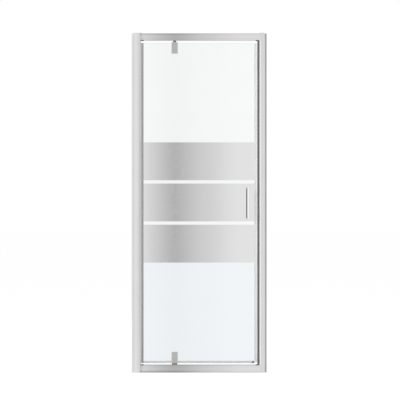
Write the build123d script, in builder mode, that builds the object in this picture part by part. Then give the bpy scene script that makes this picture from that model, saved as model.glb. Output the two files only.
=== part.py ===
# Pivot shower door for an alcove: a framed leaf of toughened glass that turns on a
# top and a bottom pivot, both set in from its hinge edge. Sizes are in millimetres.
#
# X runs along the width, with the hinge side at low X. Y runs from the room into
# the shower, and Z is up. The origin is in the middle of the overall width, on the
# underside of the bottom rail, in the middle plane of the glass.
#
# The aluminium frame is two posts and two rails. Each post telescopes over a wall
# channel, so the width can be set on site, and is then locked by screws in slots.

import os

from build123d import *

# Overall size, with both posts in the middle of their travel
OVERALL_WIDTH = 755.0
OVERALL_HEIGHT = 1900.0
HALF_WIDTH = OVERALL_WIDTH / 2

# Wall channels
CHANNEL_DEPTH = 31.4
CHANNEL_REACH = 27.6
CHANNEL_WALL = 1.6
CHANNEL_SHOWS = 10.5
CHANNEL_TRAVEL = 7.5
CHANNEL_BEVEL = 11.5
CHANNEL_BEVEL_DROP = 5.5
CHANNEL_TOP = OVERALL_HEIGHT - 4.0
WALL_HOLE_RADIUS = 2.75
WALL_HOLE_HEIGHTS = (150.0, 650.0, 1250.0, 1750.0)

# Posts: flat all round, with one large round corner towards the room and the door
POST_WALL = 1.6
POST_BACK = 18.0
POST_BACK_CORNER = 3.0
HINGE_POST_WIDTH = 42.0
HINGE_POST_CORNER = 12.0
STRIKE_POST_WIDTH = 30.5
STRIKE_POST_CORNER = 9.0
RIB_WIDTH = 1.4
RIB_HEIGHT = 0.4
CAP_HEIGHT = 3.0
CAP_TAB_THICKNESS = 2.4
CAP_TAB_GAP = 0.3
CAP_TAB_DEPTH = 5.0
POST_TOP = OVERALL_HEIGHT - CAP_HEIGHT
HINGE_POST_FACE = -HALF_WIDTH + CHANNEL_SHOWS + HINGE_POST_WIDTH
STRIKE_POST_FACE = HALF_WIDTH - CHANNEL_SHOWS - STRIKE_POST_WIDTH

# Keyed groove in the door side of the strike post
GROOVE_MOUTH = 5.0
GROOVE_MOUTH_DEPTH = 1.6
GROOVE_INSIDE = 8.0
GROOVE_DEPTH = 4.0
GROOVE_SHELL = 1.4

# Rails: a closed section in two chambers, with open screw ports for the corners
RAIL_DEPTH = 34.0
RAIL_WALL = 1.5
RAIL_FAR_CORNER = 2.5
RAIL_NEAR_CORNER = 1.0
RAIL_CAVITY = 13.0
TOP_RAIL_HEIGHT = 41.0
BOTTOM_RAIL_HEIGHT = 44.5
TOP_RAIL_EDGE = POST_TOP - TOP_RAIL_HEIGHT
PORT_Y = 12.2
PORT_REACHES = (20.5, 32.5)
PORT_OUTER = 3.6
PORT_INNER = 2.15
PORT_SLIT = 1.6
LINE_WIDTH = 1.2
LINE_DEPTH = 0.6
LINE_REACH = 20.5
HINGE_CUT_LENGTH = 15.5
STRIKE_CUT_RANGE = (4.5, 20.5)
END_CUT_HEIGHT = 3.0
END_CUT_BACK = 6.0

# Leaf: glass, mirrored strips and the seals pushed on to its edges
GLASS_THICKNESS = 5.0
GLASS_FACE = GLASS_THICKNESS / 2
GLASS_HALF_WIDTH = 317.0
GLASS_BOTTOM = 56.0
GLASS_TOP = 1842.5
GLASS_HEIGHT = GLASS_TOP - GLASS_BOTTOM
GLASS_ARRIS = 0.5
STRIP_HEIGHT = 212.3
STRIP_PITCH = 230.5
STRIP_CENTRE = 951.2
STRIP_SKIN = 0.12
STRIP_MARGIN = 1.0
JAW_INNER = 2.8
JAW_OUTER = 4.0
WEB_START = 0.3
WEB_END = 1.5
HINGE_SEAL_JAW_X = -311.7
HINGE_SEAL_END_X = -324.0
HINGE_SEAL_BULB = 3.2
HINGE_SEAL_LOW = 51.5
HINGE_SEAL_HIGH = 1844.0
MAGNET_SEAL_JAW_X = 308.8
MAGNET_SEAL_END_X = 325.0
MAGNET_BOX_HALF = 5.0
MAGNET_BOX_WALL = 0.8
MAGNET_WIDTH = 4.6
MAGNET_PLAY = 0.1
MAGNET_GAP = 0.9
MAGNET_SHORT = 5.0
CARRIER_OVERLAP = 2.5
DRIP_JAW_Z = 63.8
DRIP_FIN_Z = 52.3
DRIP_END_GAP = 0.7

# Pivots
PIVOT_X = -137.5
JOURNAL_RADIUS = 4.0
RUNNING_CLEARANCE = 0.05
JOURNAL_REACH = 12.0
PIN_SHANK = 2.5
PIN_SOCKET = 20.0
TOP_COLLAR_RADIUS = 7.5
BOTTOM_COLLAR_RADIUS = 15.0
THRUST_GAP = 0.1
TOP_PLAY = 0.6
BUSH_RADIUS = 6.0
TOP_FLANGE_RADIUS = 8.5
BOTTOM_FLANGE_RADIUS = 15.5
BUSH_FLANGE = 3.6
BLOCK_LENGTH = 60.0
BLOCK_PLAY = 0.2
BLOCK_SCREW_OFFSET = 20.0
BLOCK_SCREW_RADIUS = 2.0
BLOCK_SCREW_HEAD = 3.6
BLOCK_SCREW_LENGTH = 12.0

# Clamps that hold the glass on the pivots
CLAMP_WIDTH = 36.0
CLAMP_HEIGHT = 63.2
CLAMP_PLATE = 7.0
CLAMP_GASKET = 0.9
CLAMP_EDGE = 1.4
CLAMP_INNER = GLASS_FACE + CLAMP_GASKET
CLAMP_OUTER = CLAMP_INNER + CLAMP_PLATE
TOP_CLAMP_END = 1848.0
BOTTOM_CLAMP_END = 51.0
NOTCH_WIDTH = 20.0
NOTCH_REACH = 53.0
CORE_WIDTH = 18.0
CORE_REACH = 51.5
CLAMP_SCREW_REACHES = (28.0, 43.0)
CLAMP_SCREW_RADIUS = 2.4
CLAMP_SCREW_HEAD = 4.4
CLAMP_SCREW_HEAD_HEIGHT = 2.8
CLAMP_SCREW_TIP = -7.5
HEX_SOCKET = 1.6
HEX_SOCKET_DEPTH = 1.6
SCREW_PLAY = 0.02

# Handles: a round bar on two posts, on each side of the glass
HANDLE_X = 269.0
HANDLE_Z = 947.5
HANDLE_LENGTH = 183.0
HANDLE_WIDTH = 19.0
HANDLE_THICKNESS = 8.0
HANDLE_FRONT_EDGE = 1.2
HANDLE_BACK_EDGE = 2.5
DISH_DEPTH = 2.7
DISH_HALF_WIDTH = 8.0
DISH_END = 1.5
DISH_RUN = 7.0
HANDLE_REACH = 38.0
HANDLE_POST_OFFSET = 72.0
HANDLE_POST_RADIUS = 4.0
HANDLE_FOOT_RADIUS = 7.0
HANDLE_FOOT = 3.0
HANDLE_BASE = 3.62
STUD_RADIUS = 2.5
STUD_BITE = 12.0
GLASS_HOLE_RADIUS = 5.0
SLEEVE_OUTER = 4.9
SLEEVE_INNER = 2.6

# Width locking screws, through the back of each post and a slot in its channel
LOCK_HEIGHTS = (250.0, 950.0, 1650.0)
LOCK_INSET = 15.5
LOCK_SHANK = 2.0
LOCK_HOLE = 2.25
LOCK_TIP = 8.6
LOCK_NUT_LOW = 9.8
LOCK_NUT_HIGH = 13.7
SLOT_LENGTH = 2 * (CHANNEL_TRAVEL + LOCK_HOLE) + 0.5
PAN_HEAD = 3.75
PAN_HEAD_HEIGHT = 2.2
COVER_RADIUS = 6.0
COVER_HEIGHT = 3.6

# Corner screws
CORNER_SHANK = 2.1
CORNER_HOLE = 2.3
CORNER_HEAD = 2.9
CORNER_HEAD_HEIGHT = 2.0
CORNER_LENGTH = 25.0

# Section planes for the posts: local X runs from the door side to the wall, and
# local Y towards the room
HINGE_POST_PLANE = Plane(origin=(HINGE_POST_FACE, 0, 0), x_dir=(-1, 0, 0), z_dir=(0, 0, 1))
STRIKE_POST_PLANE = Plane(
    origin=(STRIKE_POST_FACE, 0, POST_TOP), x_dir=(1, 0, 0), z_dir=(0, 0, -1)
)

os.makedirs("parts", exist_ok=True)


def save(builder, name):
    """Labels a finished piece and writes it to its own file."""
    builder.part.label = name
    export_step(builder.part, f"parts/{name}.step")


def draw_rectangle(x_low, x_high, y_low, y_high, mode=Mode.ADD):
    """Rectangle between the given limits of the current sketch."""
    with Locations(((x_low + x_high) / 2, (y_low + y_high) / 2)):
        Rectangle(x_high - x_low, y_high - y_low, mode=mode)


def draw_polygon(points, mode=Mode.ADD):
    """Polygon through points of the current sketch."""
    with BuildLine() as outline:
        Polyline(*points, close=True)
    make_face(outline.edges(), mode=mode)


def add_box(x_low, x_high, y_low, y_high, z_low, z_high, mode=Mode.ADD):
    """Box between the given limits."""
    middle = ((x_low + x_high) / 2, (y_low + y_high) / 2, (z_low + z_high) / 2)
    with Locations(middle):
        Box(x_high - x_low, y_high - y_low, z_high - z_low, mode=mode)


def add_upright(radius, x, y, z_a, z_b, mode=Mode.ADD):
    """Cylinder along Z between two heights."""
    with Locations((x, y, (z_a + z_b) / 2)):
        Cylinder(radius, abs(z_b - z_a), mode=mode)


def add_crosswise(radius, x, y_a, y_b, z, mode=Mode.ADD):
    """Cylinder along Y between two depths."""
    with Locations((x, (y_a + y_b) / 2, z)):
        Cylinder(radius, abs(y_b - y_a), rotation=(90, 0, 0), mode=mode)


def add_lengthwise(radius, x_a, x_b, y, z, mode=Mode.ADD):
    """Cylinder along X between two positions."""
    with Locations(((x_a + x_b) / 2, y, z)):
        Cylinder(radius, abs(x_b - x_a), rotation=(0, 90, 0), mode=mode)


# Wall channels: a U section screwed to the wall, open towards its post, whose room
# side slopes back where it shows beside the post
def build_channel(side):
    """side is -1 at the hinge side and 1 at the strike side."""
    wall_x = side * HALF_WIDTH
    half = CHANNEL_DEPTH / 2
    with BuildPart() as channel:
        with BuildSketch(Plane.XY):
            end_x = wall_x - side * CHANNEL_REACH
            draw_polygon(
                [
                    (wall_x, half),
                    (wall_x, -half + CHANNEL_BEVEL_DROP),
                    (wall_x - side * CHANNEL_BEVEL, -half),
                    (end_x, -half),
                    (end_x, half),
                ]
            )
            fillet(vertices().group_by(Axis.X)[0 if side < 0 else -1], radius=1.0)
            offset(amount=-CHANNEL_WALL, mode=Mode.SUBTRACT)
            inside = half - CHANNEL_WALL
            mouth = sorted((end_x - side, end_x + side * (CHANNEL_WALL + 1)))
            draw_rectangle(mouth[0], mouth[1], -inside, inside, Mode.SUBTRACT)
        extrude(amount=CHANNEL_TOP)
        for height in WALL_HOLE_HEIGHTS:
            reach = 2 * CHANNEL_WALL
            add_lengthwise(WALL_HOLE_RADIUS, wall_x - reach, wall_x + reach, 0, height, Mode.SUBTRACT)
        with BuildSketch(Plane.XZ.offset(-half - 1.0)):
            with Locations(*[(wall_x - side * LOCK_INSET, height) for height in LOCK_HEIGHTS]):
                SlotOverall(SLOT_LENGTH, 2 * LOCK_HOLE)
        extrude(amount=CHANNEL_WALL + 2.0, mode=Mode.SUBTRACT)
    return channel


save(build_channel(-1), "left_wall_channel")
save(build_channel(1), "right_wall_channel")


# Posts: open towards the wall, so that each slides over its channel
def draw_post_outline(width, corner):
    """Rectangle with a large round corner at the front and a small one at the back."""
    draw_rectangle(0, width, -POST_BACK, POST_BACK)
    door_side = vertices().group_by(Axis.X)[0].sort_by(Axis.Y)
    fillet(door_side[-1], radius=corner)
    back_corner = vertices().group_by(Axis.Y)[0].sort_by(Axis.X)[0]
    fillet(back_corner, radius=POST_BACK_CORNER)


def draw_post(width, corner):
    """Wall of the section, open on the wall side, with a guide rib inside each lip."""
    draw_post_outline(width, corner)
    offset(amount=-POST_WALL, mode=Mode.SUBTRACT)
    inside = POST_BACK - POST_WALL
    draw_rectangle(width - POST_WALL - 1, width + 1, -inside, inside, Mode.SUBTRACT)
    rib_end = width - 1.0
    draw_rectangle(rib_end - RIB_WIDTH, rib_end, inside - RIB_HEIGHT, inside + 0.3)
    draw_rectangle(rib_end - RIB_WIDTH, rib_end, -inside - 0.3, -inside + RIB_HEIGHT)


PORT_HEIGHTS = [TOP_RAIL_EDGE + reach for reach in PORT_REACHES]
PORT_HEIGHTS += [BOTTOM_RAIL_HEIGHT - reach for reach in PORT_REACHES]


def drill_post(side, face_x):
    """Holes for the corner screws and for the width locking screws."""
    for height in PORT_HEIGHTS:
        add_lengthwise(CORNER_HOLE, face_x - 3, face_x + 3, PORT_Y, height, Mode.SUBTRACT)
    for height in LOCK_HEIGHTS:
        hole_x = side * (HALF_WIDTH - LOCK_INSET)
        add_crosswise(LOCK_HOLE, hole_x, POST_BACK - 3, POST_BACK + 1, height, Mode.SUBTRACT)


with BuildPart() as hinge_post:
    with BuildSketch(HINGE_POST_PLANE):
        draw_post(HINGE_POST_WIDTH, HINGE_POST_CORNER)
    extrude(amount=POST_TOP)
    drill_post(-1, HINGE_POST_FACE)
save(hinge_post, "hinge_post")

with BuildPart() as strike_post:
    with BuildSketch(STRIKE_POST_PLANE):
        draw_post(STRIKE_POST_WIDTH, STRIKE_POST_CORNER)
        shell_half = GROOVE_INSIDE / 2 + GROOVE_SHELL
        draw_rectangle(0, GROOVE_DEPTH + GROOVE_SHELL, -shell_half, shell_half)
        draw_rectangle(
            -1, GROOVE_MOUTH_DEPTH, -GROOVE_MOUTH / 2, GROOVE_MOUTH / 2, Mode.SUBTRACT
        )
        draw_rectangle(
            GROOVE_MOUTH_DEPTH, GROOVE_DEPTH, -GROOVE_INSIDE / 2, GROOVE_INSIDE / 2, Mode.SUBTRACT
        )
    extrude(amount=POST_TOP)
    drill_post(1, STRIKE_POST_FACE)
save(strike_post, "strike_post")


# Caps: moulded lids that close the open tops of the posts
def build_cap(side, face_x, width, corner, tabs):
    """tabs lists the depth ranges of the tabs that grip inside the post."""
    base = Plane(origin=(face_x, 0, POST_TOP), x_dir=(side, 0, 0), z_dir=(0, 0, -side))
    with BuildPart() as cap:
        with BuildSketch(base):
            draw_post_outline(width, corner)
        extrude(amount=-side * CAP_HEIGHT)
        fillet(cap.faces().sort_by(Axis.Z)[-1].edges(), radius=1.0)
        tab_start = POST_WALL + CAP_TAB_GAP
        tab_ends = sorted(
            (face_x + side * tab_start, face_x + side * (tab_start + CAP_TAB_THICKNESS))
        )
        for low, high in tabs:
            add_box(tab_ends[0], tab_ends[1], low, high, POST_TOP - CAP_TAB_DEPTH, POST_TOP + 1)
    return cap


HINGE_TABS = [(-5.0, 13.0)]
STRIKE_TABS = [(-10.0, -6.2), (6.2, 13.0)]
save(
    build_cap(-1, HINGE_POST_FACE, HINGE_POST_WIDTH, HINGE_POST_CORNER, HINGE_TABS),
    "left_post_cap",
)
save(
    build_cap(1, STRIKE_POST_FACE, STRIKE_POST_WIDTH, STRIKE_POST_CORNER, STRIKE_TABS),
    "right_post_cap",
)


# Rails: coped at both ends to sit against the rounded posts, and cut back at their
# inner corners for the ends of the upright seals
def build_rail(edge_z, inward, height):
    """edge_z is the edge next to the leaf, and inward is 1 for up and -1 for down."""
    start_x = HINGE_POST_FACE - HINGE_POST_CORNER
    length = STRIKE_POST_FACE + STRIKE_POST_CORNER - start_x
    half = RAIL_DEPTH / 2
    inside = half - RAIL_WALL
    chamber = 2 * RAIL_WALL + RAIL_CAVITY
    port_x = inward * PORT_Y
    front = -inward * half
    section = Plane(origin=(start_x, 0, edge_z), x_dir=(0, inward, 0), z_dir=(1, 0, 0))
    with BuildPart() as rail:
        with BuildSketch(section):
            draw_rectangle(-half, half, 0, height)
            fillet(vertices().group_by(Axis.Y)[0], radius=RAIL_NEAR_CORNER)
            fillet(vertices().group_by(Axis.Y)[-1], radius=RAIL_FAR_CORNER)
            draw_rectangle(-inside, inside, RAIL_WALL, RAIL_WALL + RAIL_CAVITY, Mode.SUBTRACT)
            draw_rectangle(-inside, inside, chamber, height - RAIL_WALL, Mode.SUBTRACT)
            with Locations(*[(port_x, reach) for reach in PORT_REACHES]):
                Circle(PORT_OUTER)
            with Locations(*[(port_x, reach) for reach in PORT_REACHES]):
                Circle(PORT_INNER, mode=Mode.SUBTRACT)
            with Locations(*[(port_x - inward * PORT_OUTER, reach) for reach in PORT_REACHES]):
                Rectangle(PORT_OUTER, PORT_SLIT, mode=Mode.SUBTRACT)
            with Locations((front, LINE_REACH)):
                Rectangle(2 * LINE_DEPTH, LINE_WIDTH, mode=Mode.SUBTRACT)
        extrude(amount=length)
        with BuildSketch(HINGE_POST_PLANE):
            draw_post_outline(HINGE_POST_WIDTH, HINGE_POST_CORNER)
        extrude(amount=POST_TOP, mode=Mode.SUBTRACT)
        with BuildSketch(STRIKE_POST_PLANE):
            draw_post_outline(STRIKE_POST_WIDTH, STRIKE_POST_CORNER)
        extrude(amount=POST_TOP, mode=Mode.SUBTRACT)
        cut_heights = sorted((edge_z - inward, edge_z + inward * END_CUT_HEIGHT))
        strike_cut_end = STRIKE_POST_FACE - STRIKE_CUT_RANGE[0]
        for low, high, front in (
            (HINGE_POST_FACE, HINGE_POST_FACE + HINGE_CUT_LENGTH, -half - 1),
            (STRIKE_POST_FACE - STRIKE_CUT_RANGE[1], strike_cut_end, -half - 1),
            (strike_cut_end - 1, STRIKE_POST_FACE + 1, -END_CUT_BACK),
        ):
            add_box(low, high, front, END_CUT_BACK, *cut_heights, Mode.SUBTRACT)
        inner_z = edge_z + inward * RAIL_WALL
        add_upright(
            BUSH_RADIUS + 0.1, PIVOT_X, 0, edge_z - inward, inner_z + inward, Mode.SUBTRACT
        )
        add_block_screws(edge_z, inward, 0.05, Mode.SUBTRACT)
    return rail


def add_block_screws(edge_z, inward, play, mode=Mode.ADD):
    """Countersunk screws, or with some play the holes for them."""
    head_z = edge_z + inward * RAIL_WALL / 2
    for side in (-1, 1):
        screw_x = PIVOT_X + side * BLOCK_SCREW_OFFSET
        add_upright(
            BLOCK_SCREW_RADIUS + play,
            screw_x,
            0,
            edge_z,
            edge_z + inward * BLOCK_SCREW_LENGTH,
            mode,
        )
        wide, narrow = BLOCK_SCREW_HEAD + play, BLOCK_SCREW_RADIUS + play
        with Locations((screw_x, 0, head_z)):
            if inward > 0:
                Cone(wide, narrow, RAIL_WALL, mode=mode)
            else:
                Cone(narrow, wide, RAIL_WALL, mode=mode)


save(build_rail(TOP_RAIL_EDGE, 1, TOP_RAIL_HEIGHT), "top_rail")
save(build_rail(BOTTOM_RAIL_HEIGHT, -1, BOTTOM_RAIL_HEIGHT), "bottom_rail")

with BuildPart() as corner_screws:
    for side, face_x in ((-1, HINGE_POST_FACE), (1, STRIKE_POST_FACE)):
        under_head = face_x + side * POST_WALL
        for height in PORT_HEIGHTS:
            tip = under_head - side * CORNER_LENGTH
            top = under_head + side * CORNER_HEAD_HEIGHT
            add_lengthwise(CORNER_SHANK, tip, under_head + side * 0.5, PORT_Y, height)
            add_lengthwise(CORNER_HEAD, under_head, top, PORT_Y, height)
save(corner_screws, "corner_screws")


# Pivot blocks and bushes, inside the rails
def build_block(edge_z, inward):
    z_a = edge_z + inward * RAIL_WALL
    z_b = z_a + inward * (RAIL_CAVITY - BLOCK_PLAY)
    half_depth = RAIL_DEPTH / 2 - RAIL_WALL - BLOCK_PLAY
    half_length = BLOCK_LENGTH / 2
    with BuildPart() as block:
        add_box(
            PIVOT_X - half_length,
            PIVOT_X + half_length,
            -half_depth,
            half_depth,
            min(z_a, z_b),
            max(z_a, z_b),
        )
        fillet(block.edges().filter_by(Axis.Z), radius=2.0)
        add_upright(BUSH_RADIUS, PIVOT_X, 0, z_a - inward, z_b + inward, Mode.SUBTRACT)
        for side in (-1, 1):
            screw_x = PIVOT_X + side * BLOCK_SCREW_OFFSET
            add_upright(
                BLOCK_SCREW_RADIUS + SCREW_PLAY,
                screw_x,
                0,
                z_a,
                edge_z + inward * (BLOCK_SCREW_LENGTH + 0.5),
                Mode.SUBTRACT,
            )
    return block


def build_bush(edge_z, inward, flange_radius):
    outer_z = edge_z - inward * BUSH_FLANGE
    inner_z = edge_z + inward * (RAIL_WALL + RAIL_CAVITY - BLOCK_PLAY)
    with BuildPart() as bush:
        add_upright(flange_radius, PIVOT_X, 0, outer_z, edge_z)
        fillet(bush.edges().filter_by(GeomType.CIRCLE).sort_by(Axis.Z)[0 if inward > 0 else -1], 0.8)
        add_upright(BUSH_RADIUS, PIVOT_X, 0, edge_z - inward, inner_z)
        add_upright(
            JOURNAL_RADIUS + RUNNING_CLEARANCE,
            PIVOT_X,
            0,
            outer_z - inward,
            inner_z + inward,
            Mode.SUBTRACT,
        )
    return bush


save(build_block(TOP_RAIL_EDGE, 1), "top_pivot_block")
save(build_block(BOTTOM_RAIL_HEIGHT, -1), "bottom_pivot_block")
save(build_bush(TOP_RAIL_EDGE, 1, TOP_FLANGE_RADIUS), "top_pivot_bush")
save(build_bush(BOTTOM_RAIL_HEIGHT, -1, BOTTOM_FLANGE_RADIUS), "bottom_pivot_bush")

with BuildPart() as block_screws:
    add_block_screws(TOP_RAIL_EDGE, 1, 0)
    add_block_screws(BOTTOM_RAIL_HEIGHT, -1, 0)
save(block_screws, "pivot_block_screws")

# Strike seal: a magnet in a carrier keyed into the strike post
CARRIER_FACE = MAGNET_SEAL_END_X + MAGNET_GAP
CARRIER_LOW = BOTTOM_RAIL_HEIGHT - CARRIER_OVERLAP
CARRIER_HIGH = TOP_RAIL_EDGE + CARRIER_OVERLAP
POCKET_END = CARRIER_FACE + MAGNET_BOX_WALL + MAGNET_WIDTH + 2 * MAGNET_PLAY

with BuildPart() as strike_carrier:
    with BuildSketch(Plane.XY.offset(CARRIER_LOW)):
        inner_half = MAGNET_BOX_HALF - MAGNET_BOX_WALL
        draw_rectangle(CARRIER_FACE, STRIKE_POST_FACE, -MAGNET_BOX_HALF, MAGNET_BOX_HALF)
        fillet(vertices().group_by(Axis.X)[0], radius=0.7)
        draw_rectangle(
            CARRIER_FACE + MAGNET_BOX_WALL, POCKET_END, -inner_half, inner_half, Mode.SUBTRACT
        )
        draw_rectangle(
            POCKET_END + MAGNET_BOX_WALL,
            STRIKE_POST_FACE - 1.2,
            -inner_half,
            inner_half,
            Mode.SUBTRACT,
        )
        neck_half = GROOVE_MOUTH / 2 - 0.1
        head_half = GROOVE_INSIDE / 2 - 0.2
        neck_end = STRIKE_POST_FACE + GROOVE_MOUTH_DEPTH + 0.05
        draw_rectangle(STRIKE_POST_FACE - 0.5, neck_end + 0.5, -neck_half, neck_half)
        draw_rectangle(
            neck_end, STRIKE_POST_FACE + GROOVE_DEPTH - 0.1, -head_half, head_half
        )
    extrude(amount=CARRIER_HIGH - CARRIER_LOW)
save(strike_carrier, "strike_magnet_carrier")

with BuildPart() as strike_magnet:
    magnet_x = CARRIER_FACE + MAGNET_BOX_WALL + MAGNET_PLAY
    magnet_half = MAGNET_BOX_HALF - MAGNET_BOX_WALL - MAGNET_PLAY
    add_box(
        magnet_x,
        magnet_x + MAGNET_WIDTH,
        -magnet_half,
        magnet_half,
        CARRIER_LOW + MAGNET_SHORT,
        CARRIER_HIGH - MAGNET_SHORT,
    )
save(strike_magnet, "strike_magnet")


# Width locking: screw, nut plate and snap cover at three heights on each side
def build_lock_screws(screw_x):
    with BuildPart() as screws:
        for height in LOCK_HEIGHTS:
            add_crosswise(LOCK_SHANK, screw_x, LOCK_TIP, POST_BACK + 0.5, height)
            add_crosswise(PAN_HEAD, screw_x, POST_BACK, POST_BACK + PAN_HEAD_HEIGHT, height)
        rims = screws.edges().filter_by(GeomType.CIRCLE).group_by(Axis.Y)[-1]
        fillet(rims, radius=1.0)
        recess_y = POST_BACK + PAN_HEAD_HEIGHT - 0.6
        for height in LOCK_HEIGHTS:
            for x_half, z_half in ((2.0, 0.4), (0.4, 2.0)):
                add_box(
                    screw_x - x_half,
                    screw_x + x_half,
                    recess_y,
                    POST_BACK + 4,
                    height - z_half,
                    height + z_half,
                    Mode.SUBTRACT,
                )
    return screws


def build_lock_nuts(screw_x):
    with BuildPart() as nuts:
        for height in LOCK_HEIGHTS:
            add_box(
                screw_x - 5, screw_x + 5, LOCK_NUT_LOW, LOCK_NUT_HIGH, height - 7, height + 7
            )
        fillet(nuts.edges().filter_by(Axis.Y), radius=1.5)
        for height in LOCK_HEIGHTS:
            add_crosswise(LOCK_SHANK + SCREW_PLAY, screw_x, 8, 16, height, Mode.SUBTRACT)
    return nuts


def build_covers(screw_x):
    with BuildPart() as covers:
        for height in LOCK_HEIGHTS:
            add_crosswise(COVER_RADIUS, screw_x, POST_BACK, POST_BACK + COVER_HEIGHT, height)
        rims = covers.edges().filter_by(GeomType.CIRCLE).group_by(Axis.Y)[-1]
        fillet(rims, radius=2.0)
        for height in LOCK_HEIGHTS:
            inner_end = POST_BACK + PAN_HEAD_HEIGHT + 0.2
            add_crosswise(
                PAN_HEAD + 0.1, screw_x, POST_BACK - 1, inner_end, height, Mode.SUBTRACT
            )
    return covers


for side_name, side in (("left", -1), ("right", 1)):
    lock_x = side * (HALF_WIDTH - LOCK_INSET)
    save(build_lock_screws(lock_x), f"{side_name}_lock_screws")
    save(build_lock_nuts(lock_x), f"{side_name}_lock_nuts")
    save(build_covers(lock_x), f"{side_name}_screw_covers")

# Glass: notched for the clamps and drilled for the handles
HANDLE_HEIGHTS = (HANDLE_Z - HANDLE_POST_OFFSET, HANDLE_Z + HANDLE_POST_OFFSET)

with BuildPart() as glass:
    add_box(
        -GLASS_HALF_WIDTH, GLASS_HALF_WIDTH, -GLASS_FACE, GLASS_FACE, GLASS_BOTTOM, GLASS_TOP
    )
    fillet(glass.edges().filter_by(Axis.Y), radius=3.0)
    front_edges = glass.faces().sort_by(Axis.Y)[0].edges()
    back_edges = glass.faces().sort_by(Axis.Y)[-1].edges()
    chamfer(front_edges + back_edges, length=GLASS_ARRIS)
    with BuildSketch(Plane.XZ.offset(-GLASS_FACE - 1)):
        half_notch = NOTCH_WIDTH / 2
        top_floor = TOP_CLAMP_END - NOTCH_REACH
        bottom_floor = BOTTOM_CLAMP_END + NOTCH_REACH
        draw_rectangle(PIVOT_X - half_notch, PIVOT_X + half_notch, top_floor, GLASS_TOP + 10)
        draw_rectangle(
            PIVOT_X - half_notch, PIVOT_X + half_notch, GLASS_BOTTOM - 10, bottom_floor
        )
        inner_corners = vertices().group_by(Axis.Y)
        fillet(inner_corners[1] + inner_corners[2], radius=4.0)
    extrude(amount=GLASS_THICKNESS + 2, mode=Mode.SUBTRACT)
    for height in HANDLE_HEIGHTS:
        add_crosswise(GLASS_HOLE_RADIUS, HANDLE_X, -9, 9, height, Mode.SUBTRACT)
save(glass, "door_glass")


# Mirrored strips: a thin reflective layer on the room face of the glass
def build_strip(steps):
    middle = STRIP_CENTRE + steps * STRIP_PITCH
    reach = GLASS_HALF_WIDTH - STRIP_MARGIN
    with BuildPart() as strip:
        add_box(
            -reach,
            reach,
            -GLASS_FACE - STRIP_SKIN,
            -GLASS_FACE,
            middle - STRIP_HEIGHT / 2,
            middle + STRIP_HEIGHT / 2,
        )
        if steps == 0:
            for height in HANDLE_HEIGHTS:
                add_crosswise(GLASS_HOLE_RADIUS, HANDLE_X, -9, 9, height, Mode.SUBTRACT)
    return strip


save(build_strip(-1), "lower_mirror_strip")
save(build_strip(0), "middle_mirror_strip")
save(build_strip(1), "upper_mirror_strip")

# Hinge edge seal: jaws on the glass and a hollow bulb towards the post
with BuildPart() as hinge_seal:
    with BuildSketch(Plane.XY.offset(HINGE_SEAL_LOW)):
        web_x = -GLASS_HALF_WIDTH - WEB_END
        draw_rectangle(web_x, HINGE_SEAL_JAW_X, -JAW_OUTER, JAW_OUTER)
        fillet(vertices().group_by(Axis.X)[-1], radius=0.6)
        draw_rectangle(
            -GLASS_HALF_WIDTH - WEB_START,
            HINGE_SEAL_JAW_X + 1,
            -JAW_INNER,
            JAW_INNER,
            Mode.SUBTRACT,
        )
        bulb_x = (HINGE_SEAL_END_X + web_x) / 2
        bulb_reach = (web_x - HINGE_SEAL_END_X) / 2
        with Locations((bulb_x, 0)):
            Ellipse(bulb_reach + 0.3, HINGE_SEAL_BULB)
        with Locations((bulb_x, 0)):
            Ellipse(bulb_reach - 0.7, HINGE_SEAL_BULB - 0.8, mode=Mode.SUBTRACT)
    extrude(amount=HINGE_SEAL_HIGH - HINGE_SEAL_LOW)
save(hinge_seal, "hinge_seal")

# Magnet seal on the strike edge: jaws on the glass and a box round the magnet
with BuildPart() as door_carrier:
    with BuildSketch(Plane.XY.offset(GLASS_BOTTOM)):
        web_x = GLASS_HALF_WIDTH + WEB_END
        draw_rectangle(MAGNET_SEAL_JAW_X, web_x, -JAW_OUTER, JAW_OUTER)
        fillet(vertices().group_by(Axis.X)[0], radius=0.6)
        draw_rectangle(
            MAGNET_SEAL_JAW_X - 1,
            GLASS_HALF_WIDTH + WEB_START,
            -JAW_INNER,
            JAW_INNER,
            Mode.SUBTRACT,
        )
        draw_rectangle(web_x - 0.4, MAGNET_SEAL_END_X, -MAGNET_BOX_HALF, MAGNET_BOX_HALF)
        fillet(vertices().group_by(Axis.X)[-1], radius=0.7)
        draw_rectangle(
            web_x + 0.6,
            MAGNET_SEAL_END_X - MAGNET_BOX_WALL,
            -inner_half,
            inner_half,
            Mode.SUBTRACT,
        )
    extrude(amount=GLASS_HEIGHT)
save(door_carrier, "door_magnet_carrier")

with BuildPart() as door_magnet:
    magnet_end = MAGNET_SEAL_END_X - MAGNET_BOX_WALL - MAGNET_PLAY
    add_box(
        magnet_end - MAGNET_WIDTH,
        magnet_end,
        -magnet_half,
        magnet_half,
        GLASS_BOTTOM + MAGNET_SHORT,
        GLASS_TOP - MAGNET_SHORT,
    )
save(door_magnet, "door_magnet")

# Drip seal: jaws on the lower edge of the glass and two fins, in a length on each
# side of the bottom clamp
DRIP_SPANS = (
    (HINGE_SEAL_JAW_X + DRIP_END_GAP, PIVOT_X - CLAMP_WIDTH / 2 - DRIP_END_GAP),
    (PIVOT_X + CLAMP_WIDTH / 2 + DRIP_END_GAP, MAGNET_SEAL_JAW_X - DRIP_END_GAP),
)

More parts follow.
